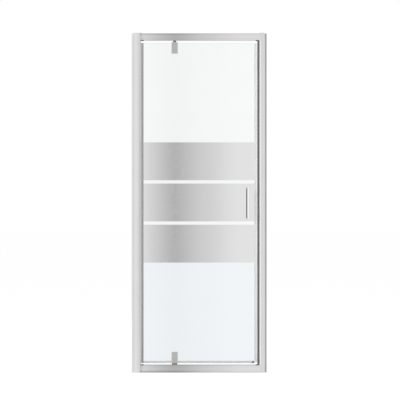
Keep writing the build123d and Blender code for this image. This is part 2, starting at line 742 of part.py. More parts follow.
with BuildPart() as drip_seal:
    for start, end in DRIP_SPANS:
        with BuildSketch(Plane.YZ.offset(start)):
            web_z = GLASS_BOTTOM - WEB_END
            draw_rectangle(-JAW_OUTER, JAW_OUTER, web_z, DRIP_JAW_Z)
            fillet(vertices().group_by(Axis.Y)[-1], radius=0.6)
            draw_rectangle(
                -JAW_INNER, JAW_INNER, GLASS_BOTTOM - WEB_START, DRIP_JAW_Z + 1, Mode.SUBTRACT
            )
            for way in (-1, 1):
                draw_polygon(
                    [
                        (way * 1.8, web_z + 0.4),
                        (way * 3.2, web_z + 0.4),
                        (way * 5.6, DRIP_FIN_Z),
                        (way * 4.8, DRIP_FIN_Z),
                    ]
                )
        extrude(amount=end - start)
save(drip_seal, "drip_seal")


# Clamps: towards is the way from the clamp's outer end into the leaf
def clamp_heights(end_z, towards, near, far):
    """Low and high ends of a range measured from the clamp's outer end."""
    return sorted((end_z + towards * near, end_z + towards * far))


def build_clamp_body(end_z, towards):
    """Room side plate with the core that takes the pin and the screws."""
    low, high = clamp_heights(end_z, towards, 0, CLAMP_HEIGHT)
    core_low, core_high = clamp_heights(end_z, towards, 0, CORE_REACH)
    half = CLAMP_WIDTH / 2
    with BuildPart() as body:
        add_box(PIVOT_X - half, PIVOT_X + half, -CLAMP_OUTER, -CLAMP_INNER, low, high)
        fillet(body.edges().filter_by(Axis.Y), radius=2.5)
        fillet(body.faces().sort_by(Axis.Y)[0].edges(), radius=CLAMP_EDGE)
        half_core = CORE_WIDTH / 2
        add_box(
            PIVOT_X - half_core,
            PIVOT_X + half_core,
            -CLAMP_INNER - 0.5,
            CLAMP_INNER,
            core_low,
            core_high,
        )
        add_upright(
            PIN_SHANK, PIVOT_X, 0, end_z - towards, end_z + towards * PIN_SOCKET, Mode.SUBTRACT
        )
        for reach in CLAMP_SCREW_REACHES:
            add_crosswise(
                CLAMP_SCREW_RADIUS + SCREW_PLAY,
                PIVOT_X,
                CLAMP_SCREW_TIP - 0.5,
                CLAMP_INNER + 1,
                end_z + towards * reach,
                Mode.SUBTRACT,
            )
    return body


def build_clamp_back(end_z, towards):
    """Shower side plate, counterbored for the screws."""
    low, high = clamp_heights(end_z, towards, 0, CLAMP_HEIGHT)
    half = CLAMP_WIDTH / 2
    with BuildPart() as plate:
        add_box(PIVOT_X - half, PIVOT_X + half, CLAMP_INNER, CLAMP_OUTER, low, high)
        fillet(plate.edges().filter_by(Axis.Y), radius=2.5)
        fillet(plate.faces().sort_by(Axis.Y)[-1].edges(), radius=CLAMP_EDGE)
        for reach in CLAMP_SCREW_REACHES:
            height = end_z + towards * reach
            seat = CLAMP_OUTER - CLAMP_SCREW_HEAD_HEIGHT - 0.3
            add_crosswise(
                CLAMP_SCREW_RADIUS + 0.2, PIVOT_X, 0, CLAMP_OUTER + 1, height, Mode.SUBTRACT
            )
            add_crosswise(
                CLAMP_SCREW_HEAD + 0.3, PIVOT_X, seat, CLAMP_OUTER + 1, height, Mode.SUBTRACT
            )
    return plate


def build_clamp_gaskets(end_z, towards, edge_z):
    """One gasket on each face of the glass, slotted for the core."""
    near = abs(edge_z - end_z) + 0.5
    low, high = clamp_heights(end_z, towards, near, CLAMP_HEIGHT - 0.6)
    slot_low, slot_high = clamp_heights(end_z, towards, -1, NOTCH_REACH)
    half = CLAMP_WIDTH / 2 - 0.6
    slot_half = NOTCH_WIDTH / 2
    with BuildPart() as gaskets:
        for way in (-1, 1):
            depth = sorted((way * GLASS_FACE, way * CLAMP_INNER))
            add_box(PIVOT_X - half, PIVOT_X + half, depth[0], depth[1], low, high)
        add_box(
            PIVOT_X - slot_half, PIVOT_X + slot_half, -9, 9, slot_low, slot_high, Mode.SUBTRACT
        )
    return gaskets


def build_clamp_screws(end_z, towards):
    """Socket head screws, driven from the shower side."""
    seat = CLAMP_OUTER - CLAMP_SCREW_HEAD_HEIGHT - 0.3
    head_end = seat + CLAMP_SCREW_HEAD_HEIGHT
    heights = [end_z + towards * reach for reach in CLAMP_SCREW_REACHES]
    with BuildPart() as screws:
        for height in heights:
            add_crosswise(CLAMP_SCREW_RADIUS, PIVOT_X, CLAMP_SCREW_TIP, seat + 0.5, height)
            add_crosswise(CLAMP_SCREW_HEAD, PIVOT_X, seat, head_end, height)
        with BuildSketch(Plane.XZ.offset(-head_end)):
            with Locations(*[(PIVOT_X, height) for height in heights]):
                RegularPolygon(HEX_SOCKET, 6)
        extrude(amount=HEX_SOCKET_DEPTH, mode=Mode.SUBTRACT)
    return screws


def build_pin(end_z, towards, flange_z, play, collar_radius):
    """Stepped pin: shank in the clamp, collar in the gap and journal in the bush."""
    away = -towards
    rail_z = flange_z + away * BUSH_FLANGE
    with BuildPart() as pin:
        add_upright(
            PIN_SHANK, PIVOT_X, 0, end_z + towards * (PIN_SOCKET - 0.5), end_z + away * 0.5
        )
        add_upright(collar_radius, PIVOT_X, 0, end_z, flange_z - away * play)
        add_upright(JOURNAL_RADIUS, PIVOT_X, 0, end_z, rail_z + away * JOURNAL_REACH)
        tip = pin.edges().filter_by(GeomType.CIRCLE).sort_by(Axis.Z)[-1 if away > 0 else 0]
        chamfer(tip, length=0.8)
    return pin


TOP_FLANGE_Z = TOP_RAIL_EDGE - BUSH_FLANGE
BOTTOM_FLANGE_Z = BOTTOM_RAIL_HEIGHT + BUSH_FLANGE
CLAMP_SITES = (
    ("top", TOP_CLAMP_END, -1, GLASS_TOP, TOP_FLANGE_Z, TOP_PLAY, TOP_COLLAR_RADIUS),
    (
        "bottom",
        BOTTOM_CLAMP_END,
        1,
        GLASS_BOTTOM,
        BOTTOM_FLANGE_Z,
        THRUST_GAP,
        BOTTOM_COLLAR_RADIUS,
    ),
)

for site, end_z, towards, edge_z, flange_z, play, collar_radius in CLAMP_SITES:
    save(build_clamp_body(end_z, towards), f"{site}_clamp_body")
    save(build_clamp_back(end_z, towards), f"{site}_clamp_back")
    save(build_clamp_gaskets(end_z, towards, edge_z), f"{site}_clamp_gaskets")
    save(build_clamp_screws(end_z, towards), f"{site}_clamp_screws")
    save(
        build_pin(end_z, towards, flange_z, play, collar_radius), f"{site}_pivot_pin"
    )


# Handles: way is -1 on the room side and 1 on the shower side
def build_handle_bar(way):
    """Flat bar with round ends, dished along the side that faces the hand."""
    back = way * (HANDLE_REACH - HANDLE_THICKNESS / 2)
    front = back + way * HANDLE_THICKNESS
    spread = DISH_HALF_WIDTH / DISH_DEPTH
    ends = HANDLE_LENGTH / 2 - DISH_END
    with BuildPart() as bar:
        with BuildSketch(Plane.XZ.offset(-back)):
            with Locations((HANDLE_X, HANDLE_Z)):
                SlotOverall(HANDLE_LENGTH, HANDLE_WIDTH, rotation=90)
        extrude(amount=-way * HANDLE_THICKNESS)
        sides = bar.faces().sort_by(Axis.Y)
        front_edges = sides[0 if way < 0 else -1].edges()
        back_edges = sides[-1 if way < 0 else 0].edges()
        fillet(front_edges, radius=HANDLE_FRONT_EDGE)
        fillet(back_edges, radius=HANDLE_BACK_EDGE)
        for offset_z, depth in (
            (-ends, 0),
            (-ends + DISH_RUN, DISH_DEPTH),
            (ends - DISH_RUN, DISH_DEPTH),
            (ends, 0),
        ):
            with BuildSketch(Plane.XY.offset(HANDLE_Z + offset_z)):
                mouth = (depth + 0.5) * spread
                draw_polygon(
                    [
                        (HANDLE_X - mouth, front + way * 0.5),
                        (HANDLE_X + mouth, front + way * 0.5),
                        (HANDLE_X, front - way * depth),
                    ]
                )
        loft(ruled=True, mode=Mode.SUBTRACT)
    return bar


def build_handle_posts(way):
    with BuildPart() as posts:
        for height in HANDLE_HEIGHTS:
            add_crosswise(
                HANDLE_FOOT_RADIUS,
                HANDLE_X,
                way * HANDLE_BASE,
                way * (HANDLE_BASE + HANDLE_FOOT),
                height,
            )
        rims = posts.edges().filter_by(GeomType.CIRCLE).group_by(Axis.Y)[0 if way < 0 else -1]
        fillet(rims, radius=1.5)
        for height in HANDLE_HEIGHTS:
            post_end = way * (HANDLE_REACH - HANDLE_THICKNESS / 2)
            add_crosswise(
                HANDLE_POST_RADIUS, HANDLE_X, way * HANDLE_BASE, post_end, height
            )
            add_crosswise(
                STUD_RADIUS + SCREW_PLAY,
                HANDLE_X,
                0,
                way * (HANDLE_BASE + STUD_BITE + 1),
                height,
                Mode.SUBTRACT,
            )
    return posts


for place, way in (("outer", -1), ("inner", 1)):
    save(build_handle_bar(way), f"{place}_handle_bar")
    save(build_handle_posts(way), f"{place}_handle_posts")

with BuildPart() as handle_studs:
    for height in HANDLE_HEIGHTS:
        reach = HANDLE_BASE + STUD_BITE
        add_crosswise(STUD_RADIUS, HANDLE_X, -reach, reach, height)
save(handle_studs, "handle_studs")

with BuildPart() as handle_sleeves:
    for height in HANDLE_HEIGHTS:
        add_crosswise(SLEEVE_OUTER, HANDLE_X, -GLASS_FACE, GLASS_FACE, height)
        add_crosswise(SLEEVE_INNER, HANDLE_X, -9, 9, height, Mode.SUBTRACT)
save(handle_sleeves, "handle_sleeves")

with BuildPart() as handle_washers:
    for height in HANDLE_HEIGHTS:
        add_crosswise(
            HANDLE_FOOT_RADIUS, HANDLE_X, -HANDLE_BASE, -GLASS_FACE - STRIP_SKIN, height
        )
        add_crosswise(HANDLE_FOOT_RADIUS, HANDLE_X, GLASS_FACE, HANDLE_BASE, height)
        add_crosswise(SLEEVE_INNER, HANDLE_X, -9, 9, height, Mode.SUBTRACT)
save(handle_washers, "handle_washers")
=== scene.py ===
"""Finishes and soft trims for a framed pivot shower door, laid over its CAD model."""

import math

import bmesh
import bpy
import numpy as np
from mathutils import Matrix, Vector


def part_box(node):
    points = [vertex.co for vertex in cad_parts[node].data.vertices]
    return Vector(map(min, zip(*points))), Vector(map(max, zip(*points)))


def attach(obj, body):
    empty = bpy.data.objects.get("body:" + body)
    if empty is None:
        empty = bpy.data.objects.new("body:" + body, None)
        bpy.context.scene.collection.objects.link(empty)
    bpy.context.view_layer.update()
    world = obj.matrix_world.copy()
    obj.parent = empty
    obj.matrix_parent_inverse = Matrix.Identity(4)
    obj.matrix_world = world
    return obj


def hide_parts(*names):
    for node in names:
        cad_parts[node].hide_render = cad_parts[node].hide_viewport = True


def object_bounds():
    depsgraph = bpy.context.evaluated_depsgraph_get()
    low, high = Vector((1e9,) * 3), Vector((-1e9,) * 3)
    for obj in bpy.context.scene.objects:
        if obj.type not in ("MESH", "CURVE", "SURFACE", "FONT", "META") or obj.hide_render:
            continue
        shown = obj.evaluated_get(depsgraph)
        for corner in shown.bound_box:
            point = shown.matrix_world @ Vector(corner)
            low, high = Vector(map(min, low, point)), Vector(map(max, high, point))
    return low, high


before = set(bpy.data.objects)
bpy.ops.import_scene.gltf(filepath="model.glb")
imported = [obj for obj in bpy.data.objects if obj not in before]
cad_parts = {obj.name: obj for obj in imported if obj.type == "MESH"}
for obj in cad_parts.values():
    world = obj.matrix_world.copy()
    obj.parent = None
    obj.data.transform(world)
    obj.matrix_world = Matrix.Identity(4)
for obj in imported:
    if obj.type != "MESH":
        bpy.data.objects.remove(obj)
CAD_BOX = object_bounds()

bl_info = {
    "name": "Pivot shower door",
    "version": (1, 0, 0),
    "blender": (4, 5, 0),
    "location": "View3D > Sidebar > Shower door",
    "description": "Gives a framed pivot shower door its metal, glass, mirror and seals",
    "category": "Object",
}

MM = 0.001

# Sideways part of the direction of a small dark card in the studio, at camera height
CARD_SLOPE = 0.63

GLASS_LOW, GLASS_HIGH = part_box("door_glass")
HINGE_SEAL_LOW, HINGE_SEAL_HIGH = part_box("hinge_seal")
LEAF_SEAL_LOW, LEAF_SEAL_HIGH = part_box("door_magnet_carrier")
POST_SEAL_LOW, POST_SEAL_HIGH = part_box("strike_magnet_carrier")
DRIP_LOW, DRIP_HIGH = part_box("drip_seal")
CLAMP_LOW, CLAMP_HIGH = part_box("bottom_clamp_body")
STRIKE_POST_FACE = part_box("strike_post")[0].x

# Gap behind the silvered bands, in millimetres
MIRROR_GAP = 0.02

# Length of the drip seal's dark end
DRIP_TIP = 0.0145

# The clamps' notches in the glass, in millimetres
NOTCH_HALF = 10.0
NOTCH_REACH = 53.0

# The dish in the front of a handle bar, in millimetres
DISH_DEPTH = 2.7
DISH_HALF_WIDTH = 8.0
DISH_END = 1.0
DISH_RUN = 5.0


# Surfaces
def rounded_outline(corners, radii, steps=5):
    """Closed outline whose corners are arcs.

    At a corner with half angle h between its two sides, the arc of radius r starts
    r / tan(h) along each side, and its centre is r / sin(h) along the bisector. The
    arc's points turn evenly from one tangent point to the other.
    """
    p = np.asarray(corners, float)
    r = np.broadcast_to(np.asarray(radii, float), (len(p),))[:, None]
    to_last = np.roll(p, 1, 0) - p
    to_next = np.roll(p, -1, 0) - p
    to_last /= np.linalg.norm(to_last, axis=1, keepdims=True)
    to_next /= np.linalg.norm(to_next, axis=1, keepdims=True)
    half = np.arccos(np.clip((to_last * to_next).sum(1, keepdims=True), -1, 1)) / 2
    bisector = to_last + to_next
    bisector /= np.linalg.norm(bisector, axis=1, keepdims=True)
    centre = p + bisector * r / np.sin(half)
    start = p + to_last * r / np.tan(half) - centre
    end = p + to_next * r / np.tan(half) - centre
    turn = np.sign(start[:, 0] * end[:, 1] - start[:, 1] * end[:, 0])[:, None]
    angle = turn * (math.pi - 2 * half) * np.linspace(0, 1, steps + 1)[None]
    x = start[:, :1] * np.cos(angle) - start[:, 1:] * np.sin(angle)
    y = start[:, :1] * np.sin(angle) + start[:, 1:] * np.cos(angle)
    return (centre[:, None] + np.stack([x, y], -1)).reshape(-1, 2)


def fin_outline(curve, root, tip):
    """Closed outline of a tapering strip round a curve.

    Each point of the curve is moved both ways along its normal by half the
    thickness, which goes evenly from root to tip.
    """
    curve = np.asarray(curve, float)
    tangent = np.gradient(curve, axis=0)
    tangent /= np.linalg.norm(tangent, axis=1, keepdims=True)
    normal = np.stack([-tangent[:, 1], tangent[:, 0]], -1)
    reach = np.linspace(root, tip, len(curve))[:, None] / 2
    return np.concatenate([curve + normal * reach, (curve - normal * reach)[::-1]])


def place(outline, station, axis):
    """Outline points in space: their two values fill the axes other than axis."""
    points = np.empty((len(outline), 3))
    others = [i for i in range(3) if i != axis]
    points[:, others] = outline
    points[:, axis] = station
    return points


def loop_grid(loops, sides):
    """Quads between loops of equal length: quad (i, j) joins points j and j + 1 of
    loops i and i + 1, and the last point is followed by the first."""
    i, j = np.meshgrid(np.arange(loops - 1), np.arange(sides), indexing="ij")
    k = (j + 1) % sides
    quads = np.stack([i * sides + j, i * sides + k, (i + 1) * sides + k, (i + 1) * sides + j], -1)
    return quads.reshape(-1, 4)


def carried(outline, stations, axis):
    """An outline carried along an axis, with a flat face at each end."""
    loops = np.concatenate([place(outline, station, axis) for station in stations])
    sides = len(outline)
    faces = loop_grid(len(stations), sides).tolist()
    faces.append(list(range(sides))[::-1])
    faces.append(list(range((len(stations) - 1) * sides, len(stations) * sides)))
    return loops, faces


def carried_ring(outer, inner, stations, axis):
    """A hollow section carried along an axis: four loops, which are the outer and
    then the inner outline from one end to the other, closed on themselves."""
    ends = (stations[0], stations[-1])
    loops = [place(outer, ends[0], axis), place(outer, ends[1], axis)]
    loops += [place(inner, ends[1], axis), place(inner, ends[0], axis)]
    sides = len(outer)
    quads = loop_grid(5, sides)
    return np.concatenate(loops), (quads % (4 * sides)).tolist()


def turned(profile, centre, axis, sides=48):
    """A profile of (radius, height) pairs turned round an axis through centre.

    Point (i, j) stands at height i and, at angle 2 pi j / sides, radius i away.
    A profile that starts and ends at radius 0 gives a closed skin.
    """
    profile = np.asarray(profile, float)
    angle = 2 * math.pi * np.arange(sides) / sides
    radius = np.maximum(profile[:, :1], 1e-7)
    across = [i for i in range(3) if i != axis]
    points = np.empty((len(profile), sides, 3))
    points[..., across[0]] = centre[across[0]] + radius * np.cos(angle)
    points[..., across[1]] = centre[across[1]] + radius * np.sin(angle)
    points[..., axis] = centre[axis] + profile[:, 1:]
    return points.reshape(-1, 3), loop_grid(len(profile), sides).tolist()


def dished_bar(width, thickness, length, way, steps=10):
    """Closed skin of a flat bar with round ends, dished along its hand side.

    Seen from the front the bar is a stadium: at height z its half width is w, or
    sqrt(w^2 - (|z| - l / 2 + w)^2) within w of an end. Its section is a rectangle of
    that half width whose four corners are arcs. On the hand side, the point at x is
    sunk by (d / c) (e - |x|) where |x| is under e. The dish's half width e is c times
    (1 - cos pi t) / 2, where t goes from 0 to 1 along the dish's run.
    """
    half = width / 2
    near = length / 2 - half
    angle = np.linspace(0.02, math.pi / 2, steps)
    run = length / 2 - DISH_END - np.linspace(0, DISH_RUN, steps)
    upper = np.concatenate([near + half * np.cos(angle), run, np.linspace(0, near, 6)])
    upper = np.unique(np.round(upper, 3))
    stations = np.concatenate([-upper[:0:-1], upper])
    beyond = np.maximum(np.abs(stations) - near, 0)
    reach = np.sqrt(half**2 - beyond**2)
    grow = np.clip((length / 2 - DISH_END - np.abs(stations)) / DISH_RUN, 0, 1)
    grow = (1 - np.cos(math.pi * grow)) / 2
    loops = []
    for w, share in zip(reach, grow):
        front = min(1.2, w * 0.45)
        back = min(2.5, w * 0.5)
        corners = [
            (-w, thickness / 2),
            (-w, -thickness / 2),
            (w, -thickness / 2),
            (w, thickness / 2),
        ]
        rim = rounded_outline(corners, [back, front, front, back], 4)
        edge = min(max(DISH_HALF_WIDTH * share, 0.02), (w - front) * 0.97)
        side = np.concatenate([np.linspace(w - front, edge, 3)[1:], np.linspace(edge, 0, 8)[1:]])
        hand = np.concatenate([-side, side[-2::-1]])
        sunk = DISH_DEPTH / DISH_HALF_WIDTH * np.maximum(edge - np.abs(hand), 0)
        if share == 0:
            sunk *= 0
        dish = np.stack([hand, -thickness / 2 + sunk], -1)
        loops.append(np.concatenate([rim[:10], dish, rim[10:]]) * [1, -way])
    count = len(loops[0])
    points = np.concatenate([place(loop, z, 2) for loop, z in zip(loops, stations)])
    faces = loop_grid(len(loops), count).tolist()
    faces.append(list(range(count))[::-1])
    faces.append(list(range((len(loops) - 1) * count, len(loops) * count)))
    return points, faces


def drilled_band(low, high, centre_x, heights, radius, steps=24):
    """Closed skin of a flat band drilled along Y by a column of round holes.

    Each face is two outlines that meet on the line x = centre_x. One runs up that line,
    and goes round each hole by the half circle centre_x + r cos a, z + r sin a, with a
    from -90 to 90 degrees. The other is its mirror image. Walls join front and back
    along every edge that isn't on the line.
    """
    angle = np.linspace(-math.pi / 2, math.pi / 2, steps + 1)
    arcs = [np.stack([radius * np.cos(angle), z + radius * np.sin(angle)], -1) for z in heights]
    chain = np.concatenate([[(0, low[2])], *arcs, [(0, high[2])]])
    chain[np.abs(chain[:, 0]) < 1e-6, 0] = 0
    surfaces = []
    for way, side in ((1, high[0]), (-1, low[0])):
        edge = np.concatenate([chain * [way, 1], [(side - centre_x, high[2]), (side - centre_x, low[2])]])
        edge[:, 0] += centre_x
        count = len(edge)
        points = np.concatenate([place(edge, low[1], 1), place(edge, high[1], 1)])
        walls = loop_grid(2, count)
        on_line = edge[:, 0] == centre_x
        walls = walls[~(on_line & np.roll(on_line, -1))]
        faces = walls.tolist() + [list(range(count))[::-1], list(range(count, 2 * count))]
        surfaces.append((points, faces))
    return merged(*surfaces)


def bulged(outline, stations, axis, swell):
    """An outline carried along an axis and swollen in the middle of its length.

    At u, which goes from -1 to 1 along the length, each point is moved out along the
    outline's normal by swell (1 - u^2).
    """
    outline = np.asarray(outline, float)
    tangent = np.roll(outline, -1, 0) - np.roll(outline, 1, 0)
    tangent /= np.linalg.norm(tangent, axis=1, keepdims=True)
    normal = np.stack([tangent[:, 1], -tangent[:, 0]], -1)
    x, y = outline.T
    normal *= np.sign((x * np.roll(y, -1) - np.roll(x, -1) * y).sum())
    u = np.linspace(-1, 1, len(stations))
    loops = [
        place(outline + normal * swell * (1 - across**2), station, axis)
        for across, station in zip(u, stations)
    ]
    sides = len(outline)
    faces = loop_grid(len(stations), sides).tolist()
    faces.append(list(range(sides))[::-1])
    faces.append(list(range((len(stations) - 1) * sides, len(stations) * sides)))
    return np.concatenate(loops), faces


def merged(*surfaces):
    """Several (points, faces) surfaces as one, with later faces renumbered."""
    points, faces, count = [], [], 0
    for surface_points, surface_faces in surfaces:
        points.append(surface_points)
        faces += [[count + index for index in face] for face in surface_faces]
        count += len(surface_points)
    return np.concatenate(points), faces


def make_piece(name, surface, body, material, nodes, sharp=35.0):
    """Puts a surface into a mesh in millimetres scaled to metres, closes its poles,
    turns its faces outwards, hangs it on its body and hides the CAD parts it replaces."""
    points, faces = surface
    mesh = bpy.data.meshes.new(name)
    mesh.from_pydata((points * MM).tolist(), [], faces)
    shell = bmesh.new()
    shell.from_mesh(mesh)
    bmesh.ops.remove_doubles(shell, verts=shell.verts, dist=2e-6)
    bmesh.ops.recalc_face_normals(shell, faces=shell.faces)
    shell.to_mesh(mesh)
    shell.free()
    mesh.shade_smooth()
    mesh.set_sharp_from_angle(angle=math.radians(sharp))
    mesh.materials.append(material)
    piece = bpy.data.objects.new(name, mesh)
    bpy.context.scene.collection.objects.link(piece)
    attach(piece, body)
    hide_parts(*nodes)
    return piece


def finish_node(name, material):
    """Gives a carried-over solid its material."""
    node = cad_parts[name]
    node.data.materials.clear()
    node.data.materials.append(material)


# Shader building
def add_node(tree, kind, inputs=None, **attributes):
    """Adds a shader node, sets its attributes, and sets or links its inputs."""
    made = tree.nodes.new("ShaderNode" + kind)
    for name, value in attributes.items():
        setattr(made, name, value)
    for name, value in (inputs or {}).items():
        socket = made.inputs[name]
        if isinstance(value, bpy.types.NodeSocket):
            tree.links.new(value, socket)
        else:
            socket.default_value = value
    return made


def start_material(name, **constants):
    """A material with its own shader, whose constant sockets are set directly."""
    material = bpy.data.materials.new(name)
    material.use_nodes = True
    tree = material.node_tree
    shader = tree.nodes["Principled BSDF"]
    for socket, value in constants.items():
        shader.inputs[socket.replace("_", " ")].default_value = value
    return material, tree, shader


def noise(tree, scale, detail=3.0, stretch=(1.0, 1.0, 1.0), roughness=0.5):
    """Noise on the object's own coordinates, stretched by a scale for each axis."""
    coords = add_node(tree, "TexCoord")
    placed = add_node(tree, "Mapping", {"Vector": coords.outputs["Object"], "Scale": stretch})
    pattern = add_node(
        tree,
        "TexNoise",
        {
            "Vector": placed.outputs["Vector"],
            "Scale": scale,
            "Detail": detail,
            "Roughness": roughness,
        },
    )
    return pattern.outputs["Fac"]


def between(tree, value, low, high, start=0.3, end=0.7):
    """Maps a noise value to a range."""
    return add_node(
        tree,
        "MapRange",
        {"Value": value, "From Min": start, "From Max": end, "To Min": low, "To Max": high},
    ).outputs["Result"]


def tinted(tree, value, colour, spread, start=0.3, end=0.7):
    """A colour that varies by a fraction either way with a noise value."""
    ramp = add_node(tree, "ValToRGB", {"Fac": value})
    dark, light = ramp.color_ramp.elements
    dark.position, light.position = start, end
    dark.color = (*[channel * (1 - spread) for channel in colour], 1)
    light.color = (*[min(1, channel * (1 + spread)) for channel in colour], 1)
    return ramp.outputs["Color"]


def level_along(tree, axis, stops):
    """A grey level that follows the place along an axis, from stops in millimetres."""
    coords = add_node(tree, "TexCoord")
    split = add_node(tree, "SeparateXYZ", {0: coords.outputs["Object"]})
    first, last = stops[0][0], stops[-1][0]
    way = add_node(
        tree,
        "MapRange",
        {"Value": split.outputs[axis], "From Min": first * MM, "From Max": last * MM},
    )
    ramp = add_node(tree, "ValToRGB", {"Fac": way.outputs["Result"]})
    for index, (station, level) in enumerate(stops):
        position = (station - first) / (last - first)
        elements = ramp.color_ramp.elements
        stop = elements[index] if index < 2 else elements.new(position)
        stop.position = position
        stop.color = (level, level, level, 1)
    return ramp.outputs["Color"]


def toned(material, level, share=1.0):
    """Multiplies a material's colour by a level, wholly or by a share."""
    tree = material.node_tree
    base = tree.nodes["Principled BSDF"].inputs["Base Color"]
    mixed = add_node(
        tree,
        "MixRGB",
        {"Fac": share, "Color1": base.links[0].from_socket, "Color2": level},
        blend_type="MULTIPLY",
    )
    tree.links.new(mixed.outputs["Color"], base)


def bumped(tree, height, strength, distance):
    """Normal from a height value."""
    return add_node(
        tree, "Bump", {"Height": height, "Strength": strength, "Distance": distance}
    ).outputs["Normal"]


def drawn_metal(name, colour, roughness, along):
    """Polished extrusion: faint die lines along one axis and softly clouded polish."""
    material, tree, shader = start_material(name, Metallic=1.0)
    across = [520.0] * 3
    across[along] = 1.6
    lines = noise(tree, 1.0, 4.0, tuple(across), 0.65)
    cloud = noise(tree, 7.0, 3.0)
    shader_inputs = shader.inputs
    tree.links.new(tinted(tree, cloud, colour, 0.018), shader_inputs["Base Color"])
    tree.links.new(
        between(tree, lines, roughness * 0.8, roughness * 1.35), shader_inputs["Roughness"]
    )
    tree.links.new(bumped(tree, lines, 0.035, 0.0004), shader_inputs["Normal"])
    return material


def plated_metal(name, colour, roughness):
    """Polished plating: fine wipe marks in the gloss and an almost even colour."""
    material, tree, shader = start_material(name, Metallic=1.0)
    wipes = noise(tree, 60.0, 5.0, (1.0, 1.0, 3.0), 0.7)
    tree.links.new(tinted(tree, wipes, colour, 0.012), shader.inputs["Base Color"])
    tree.links.new(
        between(tree, wipes, roughness * 0.6, roughness * 1.7), shader.inputs["Roughness"]
    )
    tree.links.new(bumped(tree, wipes, 0.02, 0.0002), shader.inputs["Normal"])
    return material


def turned_metal(name, colour, roughness):
    """Plain stainless steel with fine tool marks."""
    material, tree, shader = start_material(name, Metallic=1.0)
    marks = noise(tree, 900.0, 3.0, (1.0, 1.0, 6.0), 0.6)
    tree.links.new(tinted(tree, marks, colour, 0.06), shader.inputs["Base Color"])
    tree.links.new(
        between(tree, marks, roughness * 0.7, roughness * 1.4), shader.inputs["Roughness"]
    )
    tree.links.new(bumped(tree, marks, 0.08, 0.0002), shader.inputs["Normal"])
    return material


def moulded(name, colour, roughness, grain=1600.0, depth=0.06, **constants):
    """Moulded or extruded plastic: a fine grain over a faint flow pattern."""
    material, tree, shader = start_material(name, **constants)
    grains = noise(tree, grain, 2.0)
    flow = noise(tree, 22.0, 3.0, (1.0, 1.0, 0.15))
    tree.links.new(tinted(tree, flow, colour, 0.035), shader.inputs["Base Color"])
    tree.links.new(
        between(tree, grains, roughness * 0.85, min(1.0, roughness * 1.2)),
        shader.inputs["Roughness"],
    )
    tree.links.new(bumped(tree, grains, depth, 0.0002), shader.inputs["Normal"])
    return material


def recoloured_past(material, limit, colour, fade):
    """Gives a material another colour past a place along X, over a short fade."""
    tree = material.node_tree
    base = tree.nodes["Principled BSDF"].inputs["Base Color"]
    coords = add_node(tree, "TexCoord")
    split = add_node(tree, "SeparateXYZ", {0: coords.outputs["Object"]})
    past = add_node(
        tree,
        "MapRange",
        {"Value": split.outputs["X"], "From Min": limit, "From Max": limit + fade},
    )
    grain = noise(tree, 22.0, 3.0, (1.0, 1.0, 0.15))
    mixed = add_node(
        tree,
        "MixRGB",
        {
            "Fac": past.outputs["Result"],
            "Color1": base.links[0].from_socket,
            "Color2": tinted(tree, grain, colour, 0.035),
        },
    )
    tree.links.new(mixed.outputs["Color"], base)


def sheet_glass(name, tint):
    """Toughened glass with an easy-clean coat: a slight tint and a long roller wave."""
    material, tree, shader = start_material(
        name,
        Roughness=0.0,
        IOR=1.52,
        Transmission_Weight=1.0,
        Coat_Weight=1.0,
        Coat_Roughness=0.0,
        Coat_IOR=1.85,
    )
    wave = noise(tree, 2.4, 1.0, (1.0, 1.0, 3.0), 0.4)
    tree.links.new(tinted(tree, wave, tint, 0.004), shader.inputs["Base Color"])
    tree.links.new(bumped(tree, wave, 0.05, 0.0006), shader.inputs["Normal"])
    return material


def silvered(name, colour, roughness):
    """Silvered layer: bright, with the faintest mottling."""
    material, tree, shader = start_material(name, Metallic=1.0)
    mottle = noise(tree, 34.0, 4.0, (1.0, 1.0, 1.0), 0.6)
    tree.links.new(tinted(tree, mottle, colour, 0.006), shader.inputs["Base Color"])
    tree.links.new(
        between(tree, mottle, roughness * 0.6, roughness * 1.5), shader.inputs["Roughness"]
    )
    return material


# Settings
class FinishSettings(bpy.types.PropertyGroup):
    frame_colour: bpy.props.FloatVectorProperty(
        name="Frame metal",
        description="Reflected colour of the posts, rails and wall channels",
        subtype="COLOR",
        default=(0.886, 0.886, 0.888),
        min=0,
        max=1,
    )
    frame_roughness: bpy.props.FloatProperty(
        name="Frame roughness",
        description="How far the frame's polish spreads a reflection",
        subtype="FACTOR",
        default=0.04,
        min=0.02,
        max=0.6,
    )
    channel_colour: bpy.props.FloatVectorProperty(
        name="Wall channel metal",
        description="Reflected colour of the wall channels, which are mill finished",
        subtype="COLOR",
        default=(0.807, 0.807, 0.809),
        min=0,
        max=1,
    )
    chrome_colour: bpy.props.FloatVectorProperty(
        name="Fittings",
        description="Reflected colour of the clamps",
        subtype="COLOR",
        default=(0.93, 0.935, 0.94),
        min=0,
        max=1,
    )
    handle_colour: bpy.props.FloatVectorProperty(
        name="Handles",
        description="Reflected colour of the plated handles",
        subtype="COLOR",
        default=(0.945, 0.945, 0.95),
        min=0,
        max=1,
    )
    steel_colour: bpy.props.FloatVectorProperty(
        name="Screws and pins",
        description="Colour of the plain steel pieces",
        subtype="COLOR",
        default=(0.56, 0.56, 0.57),
        min=0,
        max=1,
    )
    plastic_colour: bpy.props.FloatVectorProperty(
        name="Caps",
        description="Colour of the moulded post caps and screw covers",
        subtype="COLOR",
        default=(0.55, 0.56, 0.57),
        min=0,
        max=1,
    )
    nylon_colour: bpy.props.FloatVectorProperty(
        name="Bushes",
        description="Colour of the pivot bushes and blocks",
        subtype="COLOR",
        default=(0.16, 0.16, 0.17),
        min=0,
        max=1,
    )


